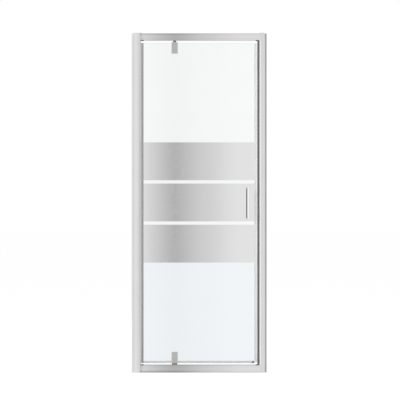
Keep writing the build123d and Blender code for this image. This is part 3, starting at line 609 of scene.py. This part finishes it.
class GlassSettings(bpy.types.PropertyGroup):
    tint: bpy.props.FloatVectorProperty(
        name="Glass tint",
        description="Colour of light that has passed one face of the glass",
        subtype="COLOR",
        default=(0.955, 0.972, 0.968),
        min=0,
        max=1,
    )
    mirror_colour: bpy.props.FloatVectorProperty(
        name="Mirror",
        description="Reflected colour of the silvered bands",
        subtype="COLOR",
        default=(0.953, 0.953, 0.955),
        min=0,
        max=1,
    )
    mirror_roughness: bpy.props.FloatProperty(
        name="Mirror roughness",
        description="How far the silvered bands spread a reflection",
        subtype="FACTOR",
        default=0.03,
        min=0.0,
        max=0.4,
    )


class SealSettings(bpy.types.PropertyGroup):
    hinge_colour: bpy.props.FloatVectorProperty(
        name="Hinge edge seal",
        description="Colour of the dark seal on the hinge edge",
        subtype="COLOR",
        default=(0.25, 0.25, 0.252),
        min=0,
        max=1,
    )
    bulb_colour: bpy.props.FloatVectorProperty(
        name="Hinge edge bulb",
        description="Colour of the softer bulb of the hinge edge seal",
        subtype="COLOR",
        default=(0.54, 0.54, 0.542),
        min=0,
        max=1,
    )
    strike_colour: bpy.props.FloatVectorProperty(
        name="Post magnet seal",
        description="Colour of the magnet seal in the strike post",
        subtype="COLOR",
        default=(0.14, 0.14, 0.145),
        min=0,
        max=1,
    )
    leaf_colour: bpy.props.FloatVectorProperty(
        name="Leaf magnet seal",
        description="Colour of the pale magnet seal on the leaf",
        subtype="COLOR",
        default=(0.70, 0.71, 0.71),
        min=0,
        max=1,
    )
    drip_colour: bpy.props.FloatVectorProperty(
        name="Drip seal",
        description="Colour of the seal under the leaf",
        subtype="COLOR",
        default=(0.805, 0.826, 0.832),
        min=0,
        max=1,
    )
    drip_tip_colour: bpy.props.FloatVectorProperty(
        name="Drip seal end",
        description="Colour of the drip seal's end on the strike side",
        subtype="COLOR",
        default=(0.22, 0.225, 0.23),
        min=0,
        max=1,
    )
    leaf_box_colour: bpy.props.FloatVectorProperty(
        name="Leaf magnet box",
        description="Colour of the box that holds the leaf's magnet",
        subtype="COLOR",
        default=(0.79, 0.795, 0.795),
        min=0,
        max=1,
    )
    wall: bpy.props.FloatProperty(
        name="Wall",
        description="Thickness of the seals' hollow parts, in millimetres",
        default=0.75,
        min=0.3,
        max=1.2,
    )


class StageSettings(bpy.types.PropertyGroup):
    distance: bpy.props.FloatProperty(
        name="Camera distance",
        description="How far the camera stands in front of the leaf",
        unit="LENGTH",
        default=9.0,
        min=2.0,
        max=20.0,
    )
    field: bpy.props.FloatProperty(
        name="Field",
        description="Width of the view at the leaf",
        unit="LENGTH",
        default=2.2402,
        min=1.0,
        max=6.0,
    )
    aim: bpy.props.FloatVectorProperty(
        name="Aim",
        description="Where the middle of the view meets the leaf, across and up",
        size=2,
        unit="LENGTH",
        default=(0.0047, 0.965),
    )
    ambient: bpy.props.FloatProperty(
        name="Ambient level",
        description="Level of the even light from all sides",
        subtype="FACTOR",
        default=0.68,
        min=0,
        max=1,
    )


# Operators
class SHOWERDOOR_OT_frame_metal(bpy.types.Operator):
    """Polished metal on the posts, rails and wall channels"""

    bl_idname = "shower_door.frame_metal"
    bl_label = "Frame metal"

    def execute(self, context):
        finish = context.scene.door_finish
        mill = drawn_metal("mill_aluminium", finish.channel_colour, 0.1, 2)
        for name in ("left_wall_channel", "right_wall_channel"):
            finish_node(name, mill)
        finish_node("hinge_post", self.hinge_post_metal(finish))
        finish_node("strike_post", self.strike_post_metal(finish))
        for name, outward in (("top_rail", 1), ("bottom_rail", -1)):
            finish_node(name, self.rail_metal(finish, name, outward))
        return {"FINISHED"}

    def polished(self, finish, name, along, painted_light_gain=1.0):
        # The colour is raised by this gain, so that where the painted tones reach 1 they give a painted highlight
        # above the plain metal colour
        colour = [painted_light_gain * value for value in finish.frame_colour]
        return drawn_metal(name, colour, finish.frame_roughness, along)

    def hinge_post_metal(self, finish):
        """Painted light and shade across the hinge post's face, as a faint ridge 11 mm in would show: painted
        highlight on the ridge, painted shade either side.
        """
        metal = self.polished(finish, "polished_hinge_post", 2, 1.06)
        low, high = (corner.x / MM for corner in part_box("hinge_post"))
        # Painted highlight and shade across the face, in millimetres from its outer side
        face = (0, 0.85), (5, 0.92), (11, 1.0), (17, 0.98), (22.5, 0.95), (28, 0.89), (34, 0.915)
        stops = [(low + reach, level) for reach, level in face] + [(high - 3, 1.0), (high, 1.0)]
        toned(metal, level_along(metal.node_tree, "X", stops))
        return metal

    def strike_post_metal(self, finish):
        """Painted light on the strike post: a painted highlight along its rounded edge between the rails, and painted
        shade on that edge beside the rails.
        """
        metal = self.polished(finish, "polished_strike_post", 2, 1.06)
        tree = metal.node_tree
        low, high = (corner.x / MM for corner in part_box("strike_post"))
        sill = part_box("bottom_rail")[1].z / MM
        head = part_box("top_rail")[0].z / MM
        # Painted highlight along the rounded edge and painted shade beyond it, in millimetres from the inner side
        face = (0, 0.98), (6.3, 1.0), (9.5, 0.925), (12, 0.887), (23, 0.9), (26.5, 0.935)
        stops = [(low + reach, level) for reach, level in face] + [(high, 0.96)]
        # Where the painted highlight applies: between the rails, not beside them
        beside = [(sill - 4, 0), (sill + 2, 1), (head - 2, 1), (head + 4, 0)]
        toned(metal, level_along(tree, "X", stops), level_along(tree, "Z", beside))
        # Painted shade beside the rails, darkest on the rounded edge
        stops = [(low, 0.84), (low + 9.5, 0.84), (low + 15, 0.91), (high, 0.92)]
        ends = [(station, 1 - share) for station, share in beside]
        toned(metal, level_along(tree, "X", stops), level_along(tree, "Z", ends))
        return metal

    def rail_metal(self, finish, name, outward):
        """A rail gets painted shade along its edges, above all outside on the hinge side, across its face,
        towards its ends and in the joint with the hinge post, and on the bottom rail a painted highlight on its inner
        edge."""
        metal = self.polished(finish, f"polished_{name}", 0, 1.055)
        tree = metal.node_tree
        low, high = (corner.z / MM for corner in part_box(name))
        inner, outer = (low, high) if outward > 0 else (high, low)
        # Painted light across the face, in millimetres from the inner edge: painted shade along that edge, with a
        # painted highlight right on the bottom rail's edge, lightest 20 mm in
        rim = [(0, 0.92), (4, 0.94)] if outward > 0 else [(0, 1.0), (1.6, 0.97), (3, 0.79), (6, 0.82)]
        face = rim + [(8, 0.955), (15, 0.97), (20, 1.0), (26, 0.98), (36, 0.97)]
        stops = sorted([(inner + outward * reach, level) for reach, level in face] + [(outer, 0.96)])
        toned(metal, level_along(tree, "Z", stops))
        # Painted shade along the outer edge, full on the hinge side and fading towards the strike side
        line = 0.85 if outward > 0 else 0.7
        face = (0, line), (7, line + 0.02), (12, 0.98), (15, 1.0)
        stops = sorted((outer - outward * reach, level) for reach, level in face)
        across = [(-330, 1.0), (-150, 1.0), (0, 0.4), (120, 0.12), (330, 0.12)]
        toned(metal, level_along(tree, "Z", stops), level_along(tree, "X", across))
        # Painted shade towards both ends of the rail, lightest a little right of the middle
        along = [(-330, 0.955), (-140, 0.955), (-50, 0.99), (20, 1.0), (70, 1.0), (160, 0.97), (330, 0.965)]
        toned(metal, level_along(tree, "X", along))
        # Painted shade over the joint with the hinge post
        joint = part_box("hinge_post")[1].x / MM
        near = (-13, 0.88), (-5, 0.82), (3, 0.81), (8.5, 0.91), (14, 1.0)
        stops = [(joint + reach, level) for reach, level in near]
        toned(metal, level_along(tree, "X", stops))
        return metal


class SHOWERDOOR_OT_frame_trim(bpy.types.Operator):
    """Caps, covers, bushes, blocks, nuts and screws of the frame"""

    bl_idname = "shower_door.frame_trim"
    bl_label = "Frame trim"

    def execute(self, context):
        finish = context.scene.door_finish
        cap = moulded("cap_plastic", finish.plastic_colour, 0.42)
        nylon = moulded("bush_nylon", finish.nylon_colour, 0.38)
        steel = turned_metal("screw_steel", finish.steel_colour, 0.3)
        magnet = moulded("magnet_strip", (0.03, 0.03, 0.03), 0.55)
        for name in ("left_post_cap", "right_post_cap", "left_screw_covers", "right_screw_covers"):
            finish_node(name, cap)
        for site in ("top", "bottom"):
            finish_node(f"{site}_pivot_block", nylon)
            finish_node(f"{site}_pivot_bush", nylon)
            finish_node(f"{site}_clamp_screws", steel)
        for side in ("left", "right"):
            finish_node(f"{side}_lock_screws", steel)
            finish_node(f"{side}_lock_nuts", steel)
        for name in ("corner_screws", "pivot_block_screws", "handle_studs"):
            finish_node(name, steel)
        for name in ("door_magnet", "strike_magnet"):
            finish_node(name, magnet)
        return {"FINISHED"}


class SHOWERDOOR_OT_fittings(bpy.types.Operator):
    """Clamps, pins and handle posts of the leaf"""

    bl_idname = "shower_door.fittings"
    bl_label = "Clamps and pins"

    def execute(self, context):
        finish = context.scene.door_finish
        chrome = plated_metal("bright_chrome", finish.chrome_colour, 0.03)
        pin = turned_metal("pin_steel", [0.6 * value for value in finish.steel_colour], 0.32)
        rubber = moulded("gasket_rubber", (0.05, 0.05, 0.05), 0.6)
        clear = moulded(
            "clear_plastic", (0.88, 0.89, 0.9), 0.12, depth=0.01, Transmission_Weight=0.9
        )
        for site in ("top", "bottom"):
            finish_node(f"{site}_clamp_body", chrome)
            finish_node(f"{site}_clamp_back", chrome)
            finish_node(f"{site}_pivot_pin", pin)
            self.build_gaskets(site, rubber)
        bar = plated_metal("handle_chrome", finish.handle_colour, 0.03)
        for place_name in ("outer", "inner"):
            finish_node(f"{place_name}_handle_posts", bar)
        for name in ("handle_sleeves", "handle_washers"):
            finish_node(name, clear)
        return {"FINISHED"}

    def build_gaskets(self, site, rubber):
        """A forked gasket on each face of the glass, squeezed out between the plates."""
        low, high = (np.array(corner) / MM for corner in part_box(f"{site}_clamp_gaskets"))
        clamp_low, clamp_high = (np.array(corner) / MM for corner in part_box(f"{site}_clamp_body"))
        middle = (low[0] + high[0]) / 2
        if site == "top":
            mouth, root, floor = high[2], low[2], clamp_high[2] - NOTCH_REACH
        else:
            mouth, root, floor = low[2], high[2], clamp_low[2] + NOTCH_REACH
        corners = [
            (low[0], mouth),
            (middle - NOTCH_HALF, mouth),
            (middle - NOTCH_HALF, floor),
            (middle + NOTCH_HALF, floor),
            (middle + NOTCH_HALF, mouth),
            (high[0], mouth),
            (high[0], root),
            (low[0], root),
        ]
        outline = rounded_outline(corners, [0.6, 0.6, 1.2, 1.2, 0.6, 0.6, 1.6, 1.6], 4)
        sheets = []
        for way in (-1, 1):
            near, far = way * GLASS_HIGH.y / MM, way * high[1]
            sheets.append(bulged(outline, np.linspace(near, far, 7), 1, 0.35))
        make_piece(
            f"{site}_clamp_gasket",
            merged(*sheets),
            "door",
            rubber,
            [f"{site}_clamp_gaskets"],
        )


class SHOWERDOOR_OT_handles(bpy.types.Operator):
    """Flat handle bars with round ends and a dished front, one on each side"""

    bl_idname = "shower_door.handles"
    bl_label = "Handle bars"

    def execute(self, context):
        chrome = bpy.data.materials["handle_chrome"]
        for place_name, way in (("outer", -1), ("inner", 1)):
            node = f"{place_name}_handle_bar"
            low, high = (np.array(corner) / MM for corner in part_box(node))
            width, thickness, length = high - low
            points, faces = dished_bar(width, thickness, length, way)
            bar = (points + (low + high) / 2, faces)
            make_piece(f"{place_name}_handle_grip", bar, "door", chrome, [node])
        return {"FINISHED"}


class SHOWERDOOR_OT_glazing(bpy.types.Operator):
    """Clear glass, and its three silvered bands a hair in front of it"""

    bl_idname = "shower_door.glazing"
    bl_label = "Glass and mirror"

    def execute(self, context):
        glazing = context.scene.door_glazing
        finish_node("door_glass", sheet_glass("clear_glass", glazing.tint))
        mirror = silvered("silvered_band", glazing.mirror_colour, glazing.mirror_roughness)
        sleeve_low, sleeve_high = (np.array(corner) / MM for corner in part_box("handle_sleeves"))
        centre_x = (sleeve_low[0] + sleeve_high[0]) / 2
        radius = (sleeve_high[0] - sleeve_low[0]) / 2
        holes = {"middle": (sleeve_low[2] + radius, sleeve_high[2] - radius)}
        for level in ("lower", "middle", "upper"):
            node = f"{level}_mirror_strip"
            low, high = (np.array(corner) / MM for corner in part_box(node))
            high[1] -= MIRROR_GAP
            band = drilled_band(low, high, centre_x, holes.get(level, ()), radius + MIRROR_GAP)
            make_piece(f"{level}_mirror_band", band, "door", mirror, [node])
        return {"FINISHED"}


def glass_channel(edge_x, jaw_x, way, outer=4.0):
    """Section of the channel that grips a side edge of the glass, in (x, y).

    It is a U whose jaws are sloped inside at their tips, so that it can be pushed
    on, drawn from the web outwards. way is 1 where the glass lies at higher x than
    the web.
    """
    web = edge_x - way * 1.5
    floor = edge_x - way * 0.35
    corners = [
        (web, -outer),
        (jaw_x, -outer),
        (jaw_x, -outer + 0.7),
        (jaw_x - way * 1.6, -2.62),
        (floor, -2.75),
        (floor, 2.75),
        (jaw_x - way * 1.6, 2.62),
        (jaw_x, outer - 0.7),
        (jaw_x, outer),
        (web, outer),
    ]
    return rounded_outline(corners, [0.5, 0.25, 0.25, 0.3, 0.3, 0.3, 0.3, 0.25, 0.25, 0.5], 3)


class SHOWERDOOR_OT_edge_seals(bpy.types.Operator):
    """Seals on both upright edges of the leaf and in the strike post"""

    bl_idname = "shower_door.edge_seals"
    bl_label = "Edge seals"

    def execute(self, context):
        seals = context.scene.door_seals
        wall = seals.wall
        hinge = moulded("hinge_seal_rubber", seals.hinge_colour, 0.5)
        post = moulded("post_seal_rubber", seals.strike_colour, 0.45)
        leaf = moulded("leaf_seal_plastic", seals.leaf_colour, 0.35, Transmission_Weight=0.12)
        glass_x = GLASS_HIGH.x / MM
        recoloured_past(leaf, GLASS_HIGH.x + 0.0003, seals.leaf_box_colour, 0.0006)
        heights = np.linspace(HINGE_SEAL_LOW.z, HINGE_SEAL_HIGH.z, 9) / MM

        jaw_x = HINGE_SEAL_HIGH.x / MM
        end_x = HINGE_SEAL_LOW.x / MM
        channel = carried(glass_channel(-glass_x, jaw_x, 1), heights, 2)
        web_x = -glass_x - 1.2
        bulb = np.array(
            [(web_x, -2.4), (web_x - 2.2, -3.3), (end_x, -1.6), (end_x, 1.6), (web_x - 2.2, 3.3), (web_x, 2.4)]
        )
        middle = bulb.mean(0)
        outer = rounded_outline(bulb, 1.1, 5)
        shrink = 1 - wall / np.linalg.norm(outer - middle, axis=1, keepdims=True)
        inner = middle + (outer - middle) * shrink
        tube = carried_ring(outer, inner, heights, 2)
        make_piece("hinge_edge_seal", channel, "door", hinge, ["hinge_seal"])
        soft = moulded("hinge_bulb_rubber", seals.bulb_colour, 0.5)
        make_piece("hinge_edge_bulb", tube, "door", soft, ["hinge_seal"])

        heights = np.linspace(LEAF_SEAL_LOW.z, LEAF_SEAL_HIGH.z, 9) / MM
        jaw_x = LEAF_SEAL_LOW.x / MM
        end_x = LEAF_SEAL_HIGH.x / MM
        channel = carried(glass_channel(glass_x, jaw_x, -1), heights, 2)
        web_x = glass_x + 1.1
        case = rounded_outline([(web_x, -5), (end_x, -5), (end_x, 5), (web_x, 5)], [0.3, 0.8, 0.8, 0.3])
        pocket = rounded_outline(
            [(web_x + wall, -5 + wall), (end_x - wall, -5 + wall), (end_x - wall, 5 - wall), (web_x + wall, 5 - wall)],
            [0.2, 0.3, 0.3, 0.2],
        )
        make_piece(
            "leaf_magnet_seal",
            merged(channel, carried_ring(case, pocket, heights, 2)),
            "door",
            leaf,
            ["door_magnet_carrier"],
        )

        face_x = POST_SEAL_LOW.x / MM
        post_x = STRIKE_POST_FACE / MM
        heights = np.linspace(POST_SEAL_LOW.z, POST_SEAL_HIGH.z, 9) / MM
        pocket_end = face_x + 2 * wall + 4.9
        case = rounded_outline(
            [(face_x, -5), (pocket_end, -5), (pocket_end, 5), (face_x, 5)], [0.8, 0.3, 0.3, 0.8]
        )
        pocket = rounded_outline(
            [
                (face_x + wall, -5 + wall),
                (pocket_end - wall, -5 + wall),
                (pocket_end - wall, 5 - wall),
                (face_x + wall, 5 - wall),
            ],
            [0.3, 0.2, 0.2, 0.3],
        )
        bellows = rounded_outline(
            [
                (pocket_end - 0.1, -4.6),
                (pocket_end + 1.5, -3.9),
                (post_x - 0.9, -4.9),
                (post_x - 0.05, -4.9),
                (post_x - 0.05, 4.9),
                (post_x - 0.9, 4.9),
                (pocket_end + 1.5, 3.9),
                (pocket_end - 0.1, 4.6),
            ],
            [0.1, 0.9, 0.3, 0.2, 0.2, 0.3, 0.9, 0.1],
        )
        inner_bellows = np.stack(
            [
                pocket_end + 0.7 + (bellows[:, 0] - pocket_end) * 0.66,
                bellows[:, 1] * 0.8,
            ],
            -1,
        )
        key = rounded_outline(
            [
                (post_x - 0.2, -2.35),
                (post_x + 1.7, -2.35),
                (post_x + 1.7, -3.7),
                (post_x + 3.8, -2.9),
                (post_x + 3.8, 2.9),
                (post_x + 1.7, 3.7),
                (post_x + 1.7, 2.35),
                (post_x - 0.2, 2.35),
            ],
            [0.1, 0.1, 0.3, 0.5, 0.5, 0.3, 0.1, 0.1],
        )
        make_piece(
            "post_magnet_seal",
            merged(
                carried_ring(case, pocket, heights, 2),
                carried_ring(bellows, inner_bellows, heights, 2),
                carried(key, heights, 2),
            ),
            "frame",
            post,
            ["strike_magnet_carrier"],
        )
        return {"FINISHED"}


class SHOWERDOOR_OT_drip_seal(bpy.types.Operator):
    """Seal under the leaf, in two lengths, with a curved fin on each face"""

    bl_idname = "shower_door.drip_seal"
    bl_label = "Drip seal"

    def execute(self, context):
        seals = context.scene.door_seals
        plastic = moulded(
            "drip_seal_plastic", seals.drip_colour, 0.3, Transmission_Weight=0.35
        )
        recoloured_past(plastic, DRIP_HIGH.x - DRIP_TIP, seals.drip_tip_colour, 0.004)
        glass_z = GLASS_LOW.z / MM
        top_z = DRIP_HIGH.z / MM
        low_z = DRIP_LOW.z / MM
        web_z = glass_z - 1.5
        floor_z = glass_z - 0.35
        channel = rounded_outline(
            [
                (-4.0, web_z),
                (4.0, web_z),
                (4.0, top_z),
                (3.3, top_z),
                (2.62, top_z - 1.6),
                (2.75, floor_z),
                (-2.75, floor_z),
                (-2.62, top_z - 1.6),
                (-3.3, top_z),
                (-4.0, top_z),
            ],
            [0.5, 0.5, 0.3, 0.3, 0.3, 0.3, 0.3, 0.3, 0.3, 0.3],
            3,
        )
        sweep = np.linspace(0, 1, 10)[:, None]
        reach = 3.4
        fins = []
        for way in (-1, 1):
            curve = np.concatenate(
                [way * (2.1 + reach * sweep**1.6), web_z + 0.3 - (web_z + 0.3 - low_z) * sweep], 1
            )
            fins.append(fin_outline(curve, 0.9, 0.45))
        clamp_ends = (CLAMP_LOW.x / MM - 0.7, CLAMP_HIGH.x / MM + 0.7)
        spans = ((DRIP_LOW.x / MM, clamp_ends[0]), (clamp_ends[1], DRIP_HIGH.x / MM))
        lengths = []
        for start, end in spans:
            stations = np.linspace(start, end, 7)
            lengths.append(carried(channel, stations, 0))
            lengths += [carried(fin, stations, 0) for fin in fins]
        make_piece("leaf_drip_seal", merged(*lengths), "door", plastic, ["drip_seal"])
        return {"FINISHED"}


class SHOWERDOOR_OT_stage(bpy.types.Operator):
    """Floor, studio light and camera"""

    bl_idname = "shower_door.stage"
    bl_label = "Stage"

    def execute(self, context):
        stage = context.scene.door_stage
        self.build_floor()
        self.build_world(context.scene, stage)
        self.build_lamps(context.scene)
        self.build_camera(context.scene, stage)
        context.scene.view_settings.view_transform = "Standard"
        return {"FINISHED"}

    def build_floor(self):
        """A pale floor that looks white and still takes the object's shadow."""
        reach = 40.0
        mesh = bpy.data.meshes.new("studio_floor")
        corners = [(-reach, -reach, 0), (reach, -reach, 0), (reach, reach, 0), (-reach, reach, 0)]
        mesh.from_pydata(corners, [], [(0, 1, 2, 3)])
        floor = bpy.data.objects.new("studio_floor", mesh)
        bpy.context.scene.collection.objects.link(floor)
        material = bpy.data.materials.new("floor_paint")
        material.use_nodes = True
        tree = material.node_tree
        tree.nodes.clear()
        path = add_node(tree, "LightPath")
        grain = noise(tree, 3.0)
        paint = add_node(
            tree, "BsdfDiffuse", {"Color": tinted(tree, grain, (0.62, 0.62, 0.62), 0.01)}
        )
        shade = add_node(
            tree, "BsdfDiffuse", {"Color": tinted(tree, grain, (0.25, 0.25, 0.25), 0.01)}
        )
        glow = add_node(tree, "Emission", {"Color": (1, 1, 1, 1), "Strength": 0.82})
        white = add_node(tree, "AddShader", {0: shade.outputs[0], 1: glow.outputs[0]})
        behind_glass = add_node(tree, "Emission", {"Color": (0.93, 0.955, 0.985, 1)})
        clear = add_node(tree, "BsdfTransparent")
        shown = paint
        for ray, shader in (
            ("Is Camera Ray", white),
            ("Is Glossy Ray", clear),
            ("Is Transmission Ray", behind_glass),
        ):
            shown = add_node(
                tree,
                "MixShader",
                {0: path.outputs[ray], 1: shown.outputs[0], 2: shader.outputs[0]},
            )
        output = add_node(tree, "OutputMaterial")
        tree.links.new(shown.outputs[0], output.inputs["Surface"])
        mesh.materials.append(material)

    def build_world(self, scene, stage):
        """Plain white where it is seen directly or through glass. In polished metal it
        is a pale room: bright on the left, with a soft grey screen beside the camera and a
        small dark card to the right, which the dished handle shows."""
        world = bpy.data.worlds.new("studio")
        scene.world = world
        world.use_nodes = True
        tree = world.node_tree
        tree.nodes.clear()
        direction = add_node(tree, "TexCoord").outputs["Generated"]
        split = add_node(tree, "SeparateXYZ", {0: direction})
        across = add_node(
            tree,
            "MapRange",
            {"Value": split.outputs["X"], "From Min": -1.0, "From Max": 1.0},
        )
        ramp = add_node(tree, "ValToRGB", {"Fac": across.outputs["Result"]})
        ramp.color_ramp.interpolation = "EASE"
        levels = (
            (-1.0, 0.90),
            (-0.76, 0.88),
            (-0.66, 1.0),
            (-0.5, 0.99),
            (-0.26, 0.84),
            (-0.10, 0.85),
            (-0.37 / stage.distance, 0.84),
            (-0.28 / stage.distance, 0.69),
            (-0.145 / stage.distance, 0.450),
            (0.0, 0.63),
            (0.224 / stage.distance, 0.80),
            (0.10, 0.81),
            (0.45, 0.78),
            (0.74, 0.74),
            (0.78, 0.46),
            (0.83, 0.46),
            (0.90, 0.66),
            (1.0, 0.66),
        )
        stops = ramp.color_ramp.elements
        for index, (slope, level) in enumerate(levels):
            stop = stops[index] if index < 2 else stops.new((slope + 1) / 2)
            stop.position = (slope + 1) / 2
            stop.color = (level, level, level, 1)
        behind = add_node(
            tree,
            "MapRange",
            {"Value": split.outputs["Y"], "From Min": 0.05, "From Max": 0.45},
        )
        aside = add_node(tree, "Math", {0: split.outputs["X"], 1: CARD_SLOPE}, operation="SUBTRACT")
        aside = add_node(tree, "Math", {0: aside.outputs[0]}, operation="ABSOLUTE")
        steep = add_node(tree, "Math", {0: split.outputs["Z"]}, operation="ABSOLUTE")
        inside = []
        for gap, edge in ((aside, 0.04), (steep, 0.07)):
            fade = {"Value": gap.outputs[0], "From Min": edge, "From Max": edge + 0.025}
            fade.update({"To Min": 1.0, "To Max": 0.0})
            inside.append(add_node(tree, "MapRange", fade).outputs["Result"])
        card = add_node(tree, "Math", {0: inside[0], 1: inside[1]}, operation="MULTIPLY")
        room = add_node(
            tree,
            "MixRGB",
            {
                "Fac": card.outputs[0],
                "Color1": ramp.outputs["Color"],
                "Color2": (0.15, 0.15, 0.15, 1),
            },
        )
        room = add_node(
            tree,
            "MixRGB",
            {
                "Fac": behind.outputs["Result"],
                "Color1": room.outputs["Color"],
                "Color2": (0.86, 0.86, 0.862, 1),
            },
        )
        height = add_node(
            tree,
            "MapRange",
            {
                "Value": steep.outputs[0],
                "From Min": 0.2,
                "From Max": 0.8,
                "To Min": 1.0,
                "To Max": 0.68,
            },
            interpolation_type="SMOOTHSTEP",
        )
        room = add_node(
            tree,
            "MixRGB",
            {
                "Fac": 1.0,
                "Color1": room.outputs["Color"],
                "Color2": height.outputs["Result"],
            },
            blend_type="MULTIPLY",
        )
        path = add_node(tree, "LightPath")
        lit = add_node(
            tree,
            "MixRGB",
            {
                "Fac": path.outputs["Is Glossy Ray"],
                "Color1": (stage.ambient, stage.ambient, stage.ambient, 1),
                "Color2": room.outputs["Color"],
            },
        )
        seen = add_node(
            tree,
            "Math",
            {0: path.outputs["Is Camera Ray"], 1: path.outputs["Is Transmission Ray"]},
            operation="MAXIMUM",
        )
        shown = add_node(
            tree,
            "MixRGB",
            {"Fac": seen.outputs[0], "Color1": lit.outputs["Color"], "Color2": (1, 1, 1, 1)},
        )
        background = add_node(tree, "Background", {"Color": shown.outputs["Color"]})
        output = add_node(tree, "OutputWorld")
        tree.links.new(background.outputs[0], output.inputs["Surface"])

    def build_lamps(self, scene):
        """Three wide soft lamps, each aimed at the middle of the leaf."""
        aim = (CAD_BOX[0] + CAD_BOX[1]) / 2
        for name, spot, size, energy in (
            ("key", (-2.6, -3.2, 2.6), 2.4, 105.0),
            ("fill", (3.0, -3.0, 1.4), 2.4, 50.0),
            ("back", (0.8, 3.4, 2.4), 2.4, 60.0),
        ):
            data = bpy.data.lights.new(name, "AREA")
            data.size = size
            data.energy = energy
            lamp = bpy.data.objects.new(name, data)
            scene.collection.objects.link(lamp)
            lamp.location = spot
            lamp.rotation_euler = (aim - lamp.location).to_track_quat("-Z", "Y").to_euler()
            lamp.visible_glossy = False
            lamp.visible_transmission = False
            lamp.visible_camera = False

    def build_camera(self, scene, stage):
        """A long lens square to the leaf, at the distance that gives the field."""
        data = bpy.data.cameras.new("front")
        data.sensor_width = 36.0
        data.lens = data.sensor_width * stage.distance / stage.field
        data.clip_end = 200.0
        camera = bpy.data.objects.new("front", data)
        scene.collection.objects.link(camera)
        camera.location = (stage.aim[0], -stage.distance, stage.aim[1])
        camera.rotation_euler = (math.pi / 2, 0, 0)
        scene.camera = camera


OPERATORS = (
    SHOWERDOOR_OT_frame_metal,
    SHOWERDOOR_OT_frame_trim,
    SHOWERDOOR_OT_fittings,
    SHOWERDOOR_OT_handles,
    SHOWERDOOR_OT_glazing,
    SHOWERDOOR_OT_edge_seals,
    SHOWERDOOR_OT_drip_seal,
    SHOWERDOOR_OT_stage,
)


class SHOWERDOOR_PT_pieces(bpy.types.Panel):
    bl_idname = "SHOWERDOOR_PT_pieces"
    bl_label = "Shower door"
    bl_space_type = "VIEW_3D"
    bl_region_type = "UI"
    bl_category = "Shower door"

    def draw(self, context):
        for operator in OPERATORS:
            self.layout.operator(operator.bl_idname)


SETTINGS = (
    ("door_finish", FinishSettings),
    ("door_glazing", GlassSettings),
    ("door_seals", SealSettings),
    ("door_stage", StageSettings),
)


def register():
    for name, group in SETTINGS:
        bpy.utils.register_class(group)
        setattr(bpy.types.Scene, name, bpy.props.PointerProperty(type=group))
    for operator in OPERATORS:
        bpy.utils.register_class(operator)
    bpy.utils.register_class(SHOWERDOOR_PT_pieces)


def unregister():
    bpy.utils.unregister_class(SHOWERDOOR_PT_pieces)
    for operator in reversed(OPERATORS):
        bpy.utils.unregister_class(operator)
    for name, group in reversed(SETTINGS):
        delattr(bpy.types.Scene, name)
        bpy.utils.unregister_class(group)


def main():
    register()
    for operator in OPERATORS:
        module, name = operator.bl_idname.split(".")
        getattr(getattr(bpy.ops, module), name)()


if __name__ == "__main__":
    main()
